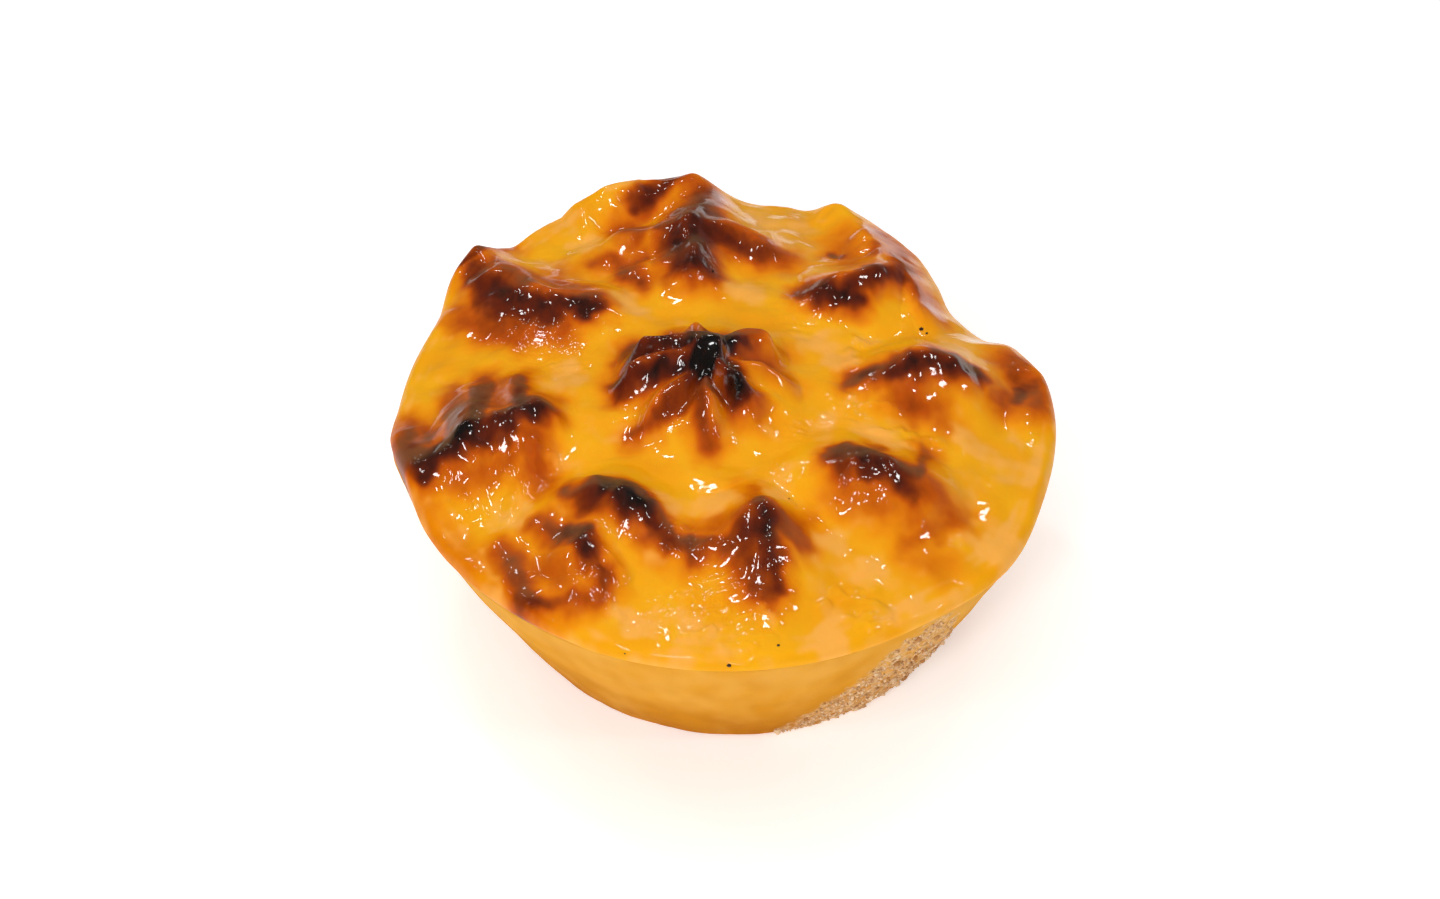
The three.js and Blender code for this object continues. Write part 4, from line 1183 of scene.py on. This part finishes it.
glaze_skin = add_node(tree, "ShaderNodeBump", {}, {
    "Strength": 1.0, "Distance": BUBBLE_HEIGHT * MM, "Height": glaze_height.outputs["Value"]})
shader = add_node(tree, "ShaderNodeBsdfPrincipled", {"subsurface_method": "RANDOM_WALK"}, {
    "Base Color": custard_colour,
    "Roughness": 0.4,
    "IOR": 1.4,
    "Specular IOR Level": 0.05,
    "Subsurface Weight": 0.25,
    "Subsurface Radius": (1.0, 0.45, 0.12),
    "Subsurface Scale": 1.6 * MM,
    "Coat Weight": glaze,
    "Coat Roughness": 0.06,
    "Coat IOR": 1.5,
    "Normal": pucker.outputs["Normal"],
    "Coat Normal": glaze_skin.outputs["Normal"],
})
tree.links.new(shader.outputs["BSDF"], output.inputs["Surface"])
custard.data.materials.append(glazed)
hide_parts("custard")
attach(custard, "root")

# %% [markdown]
# ## The crust
#
# The cup is pressed from sweet shortcrust, so its wall is thin and nearly smooth, with the faint
# waves of the fingers that pressed it in. It keeps the CAD cup's form. Its rim is brought up to
# meet the custard's lip, because the real custard bakes onto its crust and leaves only a crease.

# %% Rings of the crust
WALL_COLUMNS = 540
WALL_RINGS = 64
FOOT_RADIUS = 2
FOOT_RINGS = 8
RIM_ROUND = 0.2
RIM_RINGS = 4
RIM_LIFT = 0.5 * GAP  # how far the rim is brought up towards the custard


def foot_inset(height):
    """How far the round foot draws in at a height"""
    share = np.clip(1 - height / FOOT_RADIUS, 0, 1)
    return FOOT_RADIUS * (1 - np.sqrt(1 - share * share))


def crust_rings():
    """The crust's rings, from inside the cup over its rim and down to the middle of its base"""
    at = bearings(WALL_COLUMNS)
    rings = [np.array([[wall_shift(CRUST_FLOOR), 0, CRUST_FLOOR]])]
    rim = rim_height(at)
    for height in (CRUST_FLOOR, CRUST_HEIGHT / 2, rim):
        rings.append(ring(wall_radius(at, height) - CRUST_WALL, at, height, wall_shift(height)))
    for turn in np.linspace(0, math.pi / 2, RIM_RINGS + 1):
        inset = RIM_ROUND * (1 - math.sin(turn))
        height = rim + RIM_LIFT - RIM_ROUND * (1 - math.cos(turn))
        rings.append(ring(wall_radius(at, rim) - inset, at, height, wall_shift(rim)))
    top = rim + RIM_LIFT - RIM_ROUND
    for share in np.linspace(1, 0, WALL_RINGS + 1)[1:]:
        height = FOOT_RADIUS + (top - FOOT_RADIUS) * share
        rings.append(ring(wall_radius(at, height), at, height, wall_shift(height)))
    for turn in np.linspace(0, math.pi / 2, FOOT_RINGS + 1)[1:]:
        height = FOOT_RADIUS * (1 - math.sin(turn))
        rings.append(ring(wall_radius(at, height) - foot_inset(height), at, height, wall_shift(height)))
    rings.append(np.array([[wall_shift(0), 0, 0]]))
    return rings


crust_skin = crust_rings()
points = np.concatenate(crust_skin)
print(len(crust_skin), "rings of crust")

# %% [markdown]
# ## The floury side
#
# The lower right of the wall is dusted with flour and sandy crumbs, from the board it stood on.
# The patch starts low at the front and climbs to the rim further round, with a ragged edge, and it
# is thin in places. There the wall crumbles, so it is rough in the mesh as well.

# %% Floury patch
# How high the patch reaches: [bearing in degrees, height]
FLOUR_CLIMB = [
    [281, 2], [284, 5], [291, 9.5], [299, 16], [302, 21], [311, 25], [317, 21], [323, 11], [335, 4],
]
FLOUR_START, FLOUR_END = FLOUR_CLIMB[0][0], FLOUR_CLIMB[-1][0]
FLOUR_RAGGED = [[1.8, 3.2, 1.8, 95], [0.9, 1.2, 0.8, 96]]  # [height, width in degrees, width, layer]
FLOUR_EDGE = (-0.6, 1.2)
FLOUR_MEAN = 0.72
FLOUR_GAPS = [[0.7, 2, 1.4, 103]]


def flouriness(bearing, height):
    """How floury the crust's wall is, from 0 to 1"""
    line = np.interp(bearing, [b for b, _ in FLOUR_CLIMB], [h for _, h in FLOUR_CLIMB])
    below = line + hills(bearing, height, FLOUR_RAGGED) - height
    inside_patch = (bearing > FLOUR_START) & (bearing < FLOUR_END)
    flour = smooth_step(below, *FLOUR_EDGE) * patchy(bearing, height, FLOUR_MEAN, FLOUR_GAPS)
    return np.where(inside_patch, flour, 0)


print("flour from", FLOUR_START, "to", FLOUR_END, "degrees")

# %% The crust's skin
SEAM = 90  # the bearing, at the back, where the noise round the wall begins and ends
SEAM_WIDTH = 4
WALL_WAVES = [[0.16, 9, 7, 97], [0.03, 2.2, 2, 98]]
CRUMBLE = [[0.2, 0.9, 0.8, 99], [0.35, 2.4, 2, 100]]
PALE_CLOUDS = [[0.4, 8, 8, 104], [0.25, 3, 4, 105]]
PALE_CLIMB = {"share": 0.55, "from": 3, "to": 24}  # the wall is paler towards its rim
PALE_SHOWS = (-0.1, 0.9)

height = points[:, 2]
wall_x = points[:, 0] - wall_shift(height)
wall_bearing = np.degrees(np.arctan2(points[:, 1], wall_x)) % 360
outside = np.hypot(points[:, 1], wall_x) > wall_radius(wall_bearing, height) - CRUST_WALL / 2
outside &= height > 0
arc = np.radians((wall_bearing - SEAM) % 360) * EDGE_RADIUS
away_from_seam = 1 - bell(bearing_gap(wall_bearing, SEAM), SEAM_WIDTH)
flour = np.where(outside, flouriness(wall_bearing, height), 0)
climb_share = PALE_CLIMB["share"] * smooth_step(height, PALE_CLIMB["from"], PALE_CLIMB["to"])
pale = smooth_step(climb_share + away_from_seam * hills(arc, height, PALE_CLOUDS), *PALE_SHOWS)
bump = away_from_seam * hills(arc, height, WALL_WAVES) + flour * hills(arc, height, CRUMBLE)
bump = np.where(outside, bump, 0)
points[:, 0] += bump * np.cos(np.radians(wall_bearing))
points[:, 1] += bump * np.sin(np.radians(wall_bearing))
crust = mesh_piece("crust_cup", points + centring, stitched(crust_skin), {"flour": flour, "pale": pale})
print("floury:", round(float((flour > 0.5).mean()), 3), "of the crust's points")

# %% [markdown]
# ## Baked shortcrust
#
# Shortcrust is fat, flour and egg, baked against tin: matt, ochre, a little mottled, darker towards
# the base, where painted shade stands in for the shade under the leaning wall along with a browner
# bake, and paler in clouds towards the rim. Flour on it is dry and grainy, lighter and greyer than
# the crust. It is a rough dielectric with hardly a sheen of butter.

# %% Colours of the crust
CRUST_COLOUR = "#de951a"
# Painted shade towards the base under the leaning wall, partly a browner bake; also the mottle's dark
CRUST_SHADE_AND_MOTTLE = "#b66c07"
CRUST_PALE = "#ecac49"
PALE_COVER = 0.7
FLOUR_LIGHT = "#f4cfa0"
FLOUR_DARK = "#b9803c"
MOTTLE_WIDTH = 5.0
FLOUR_GRAIN = 0.5

shortcrust, tree, output = new_material("baked_shortcrust")
place = add_node(tree, "ShaderNodeTexCoord").outputs["Object"]
place_mm = add_node(tree, "ShaderNodeVectorMath", {"operation": "SCALE"}, {
    "Vector": place, "Scale": 1 / MM}).outputs["Vector"]
height_mm = add_node(tree, "ShaderNodeSeparateXYZ", {}, {"Vector": place_mm}).outputs["Z"]
flour_amount, pale_amount = (
    add_node(tree, "ShaderNodeAttribute", {"attribute_name": name}).outputs["Fac"]
    for name in ("flour", "pale"))
mottle = add_node(tree, "ShaderNodeTexNoise", {}, {
    "Vector": place_mm, "Scale": 1 / MOTTLE_WIDTH, "Detail": 3.0, "Roughness": 0.55}).outputs["Fac"]
# Painted shade: darker towards the base, where the wall leans in under the rim, partly a browner bake
low = add_node(tree, "ShaderNodeMapRange", {}, {
    "Value": height_mm, "From Min": 15.0, "From Max": 0.0, "To Max": 0.85}).outputs["Result"]
blotch = add_node(tree, "ShaderNodeMapRange", {}, {
    "Value": mottle, "From Min": 0.42, "From Max": 0.66, "To Max": 0.22}).outputs["Result"]
base_shade_and_mottle = add_node(tree, "ShaderNodeMath", {"operation": "ADD", "use_clamp": True}, {0: low, 1: blotch})
flour_grain = add_node(tree, "ShaderNodeTexNoise", {}, {
    "Vector": place_mm, "Scale": 1 / FLOUR_GRAIN, "Detail": 3.0, "Roughness": 0.7}).outputs["Fac"]
contrast = add_node(tree, "ShaderNodeMapRange", {}, {
    "Value": flour_grain, "From Min": 0.36, "From Max": 0.64}).outputs["Result"]
pale_cover = add_node(tree, "ShaderNodeMath", {"operation": "MULTIPLY"}, {0: pale_amount, 1: PALE_COVER})
flour_colour = add_node(tree, "ShaderNodeMix", {"data_type": "RGBA"}, {
    0: contrast, 6: linear(FLOUR_DARK), 7: linear(FLOUR_LIGHT)}).outputs[2]
crust_colour = linear(CRUST_COLOUR)
for cover, colour in ((base_shade_and_mottle.outputs["Value"], linear(CRUST_SHADE_AND_MOTTLE)),
                      (pale_cover.outputs["Value"], linear(CRUST_PALE)), (flour_amount, flour_colour)):
    crust_colour = add_node(tree, "ShaderNodeMix", {"data_type": "RGBA"}, {
        0: cover, 6: crust_colour, 7: colour}).outputs[2]
print("crust from", CRUST_SHADE_AND_MOTTLE, "at the base to", CRUST_PALE, "at the rim")

# %% Surface of the crust
ROUGH_CRUST, ROUGH_FLOUR = 0.7, 0.95
GRIT_HEIGHT = 0.12

roughness = add_node(tree, "ShaderNodeMapRange", {}, {
    "Value": flour_amount, "To Min": ROUGH_CRUST, "To Max": ROUGH_FLOUR}).outputs["Result"]
grit = add_node(tree, "ShaderNodeBump", {}, {
    "Strength": 0.5, "Distance": GRIT_HEIGHT * MM, "Height": flour_grain}).outputs["Normal"]
shader = add_node(tree, "ShaderNodeBsdfPrincipled", {"subsurface_method": "RANDOM_WALK"}, {
    "Base Color": crust_colour,
    "Roughness": roughness,
    "IOR": 1.45,
    "Specular IOR Level": 0.03,
    "Subsurface Weight": 0.15,
    "Subsurface Radius": (1.0, 0.5, 0.2),
    "Subsurface Scale": 1.2 * MM,
    "Normal": grit,
})
tree.links.new(shader.outputs["BSDF"], output.inputs["Surface"])
crust.data.materials.append(shortcrust)
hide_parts("crust")
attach(crust, "root")

# %% [markdown]
# ## Crumbs and specks
#
# Loose crumbs cling to the floury side, and a few specks of burnt sugar lie on the top. They are
# real things that stand out from the surface, so each is a small many-sided grain of its own, and
# all grains of a kind are joined into one mesh. A grain starts as an icosahedron, the roundest
# solid of equal triangles, and gets its rough form when each corner is pushed in or out. Most
# crumbs are as fine as sugar, and a few are lumps of a millimetre.

# %% A helper for grains
GOLDEN = (1 + math.sqrt(5)) / 2
corners = [(0, a, b * GOLDEN) for a in (-1, 1) for b in (-1, 1)]
corners = np.array(corners + [(a, b, 0) for _, a, b in corners] + [(b, 0, a) for _, a, b in corners])
corners /= math.hypot(1, GOLDEN)
SIDE = 2 / math.hypot(1, GOLDEN)
CLOSE = 0.01  # how exactly two corners have to be one side apart
touching = np.abs(np.linalg.norm(corners[:, None] - corners[None], axis=2) - SIDE) < CLOSE
GRAIN_FACES = [(i, j, k) for i in range(12) for j in range(i) for k in range(j)
               if touching[i, j] and touching[j, k] and touching[i, k]]
GRAIN_ROUGH = (0.65, 1.15)  # how far a corner is pushed in or out
chance = np.random.default_rng(5)


def joined_grains(name, centres, sizes, flatness, shades):
    """One mesh of rough grains, each with a shade of its own"""
    points, triangles = [], []
    for number, (centre, size) in enumerate(zip(centres, sizes)):
        rough = corners * chance.uniform(*GRAIN_ROUGH, (len(corners), 1)) * [1, 1, flatness]
        points.append(np.asarray(centre) + size / 2 * rough)
        triangles += [tuple(len(corners) * number + i for i in face) for face in GRAIN_FACES]
    piece = mesh_piece(name, np.concatenate(points), triangles, {"shade": np.repeat(shades, len(corners))})
    piece.data.polygons.foreach_set("use_smooth", np.zeros(len(triangles), dtype=bool))
    return piece


print("a grain has", len(GRAIN_FACES), "faces")

# %% Crumbs on the floury side
CRUMB_TRIES = 2400
CRUMB_SIZES = (0.2, 0.5)
LUMP_SHARE = 0.05
LUMP_SIZES = (0.7, 1.2)
CRUMB_CHANCE = (0.1, 1.3)  # a crumb stays where the flour is thicker than a draw from this range
CRUMB_OUT = 0.1  # how far its middle lies off the wall
CRUMB_FLATNESS = 0.8
CRUMB_DARK = "#b57f48"
CRUMB_LIGHT = "#f8dcb4"

crumb_bearings = chance.uniform(FLOUR_START, FLOUR_END, CRUMB_TRIES)
crumb_heights = chance.uniform(CRUMB_SIZES[0], rim_height(crumb_bearings) + LUMP_SIZES[1])
kept = flouriness(crumb_bearings, crumb_heights) > chance.uniform(*CRUMB_CHANCE, CRUMB_TRIES)
crumb_bearings, crumb_heights = crumb_bearings[kept], crumb_heights[kept]
crumb_sizes = chance.uniform(*CRUMB_SIZES, len(crumb_heights))
lumps = chance.uniform(0, 1, len(crumb_heights)) < LUMP_SHARE
crumb_sizes[lumps] = chance.uniform(*LUMP_SIZES, lumps.sum())
on_wall = np.minimum(crumb_heights, CRUST_HEIGHT)
outwards = wall_radius(crumb_bearings, on_wall) - foot_inset(crumb_heights) + CRUMB_OUT
x, y = polar(outwards, crumb_bearings)
crumb_places = np.stack([x + wall_shift(on_wall), y, crumb_heights], axis=1) + centring
crumb_shades = chance.uniform(0, 1, len(crumb_sizes))
crumbs = joined_grains("crumbs", crumb_places, crumb_sizes, CRUMB_FLATNESS, crumb_shades)

sandy, tree, output = new_material("loose_shortcrust_crumbs")
shade = add_node(tree, "ShaderNodeAttribute", {"attribute_name": "shade"}).outputs["Fac"]
crumb_colour = add_node(tree, "ShaderNodeMix", {"data_type": "RGBA"}, {
    0: shade, 6: linear(CRUMB_DARK), 7: linear(CRUMB_LIGHT)})
shader = add_node(tree, "ShaderNodeBsdfPrincipled", inputs={
    "Base Color": crumb_colour.outputs[2], "Roughness": 0.9, "IOR": 1.45, "Specular IOR Level": 0.1})
tree.links.new(shader.outputs["BSDF"], output.inputs["Surface"])
crumbs.data.materials.append(sandy)
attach(crumbs, "root")

# %% Specks of burnt sugar
# [radius, bearing in degrees, size in mm]
SPECKS = [
    [38.7, 272, 0.75], [37.3, 280.2, 0.45], [38.7, 254.1, 0.3], [19.7, 293.9, 0.28], [18.8, 94.7, 0.55],
    [27.2, 27.5, 0.7], [27.6, 26.2, 0.4],
]
SPECK_FLATNESS = 0.5
BURNT = "#2a1608"
on_skin = custard_points[on_top]
speck_places = []
for radius, bearing, _ in SPECKS:
    x, y = polar(radius, bearing)
    speck_places.append(on_skin[np.argmin(np.hypot(on_skin[:, 0] - x, on_skin[:, 1] - y))] + centring)
speck_sizes = [size for _, _, size in SPECKS]
specks = joined_grains("burnt_specks", speck_places, speck_sizes, SPECK_FLATNESS, np.zeros(len(SPECKS)))

burnt_sugar, tree, output = new_material("burnt_sugar")
shader = add_node(tree, "ShaderNodeBsdfPrincipled", inputs={
    "Base Color": linear(BURNT), "Roughness": 0.35, "IOR": 1.5})
tree.links.new(shader.outputs["BSDF"], output.inputs["Surface"])
specks.data.materials.append(burnt_sugar)
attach(specks, "root")

# %% [markdown]
# ## The last word
#
# Both boxes, of the solids and of the dressed tart, are printed in millimetres, so that they can be
# compared. The dressed tart has to stay as large as its solids.

# %% Print the sizes of the solids and of the dressed tart
visual_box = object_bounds()
for label, box in (("solids", cad_box), ("dressed", visual_box)):
    print(label, "mm:", [round((high - low) / MM, 1) for low, high in zip(*box)])
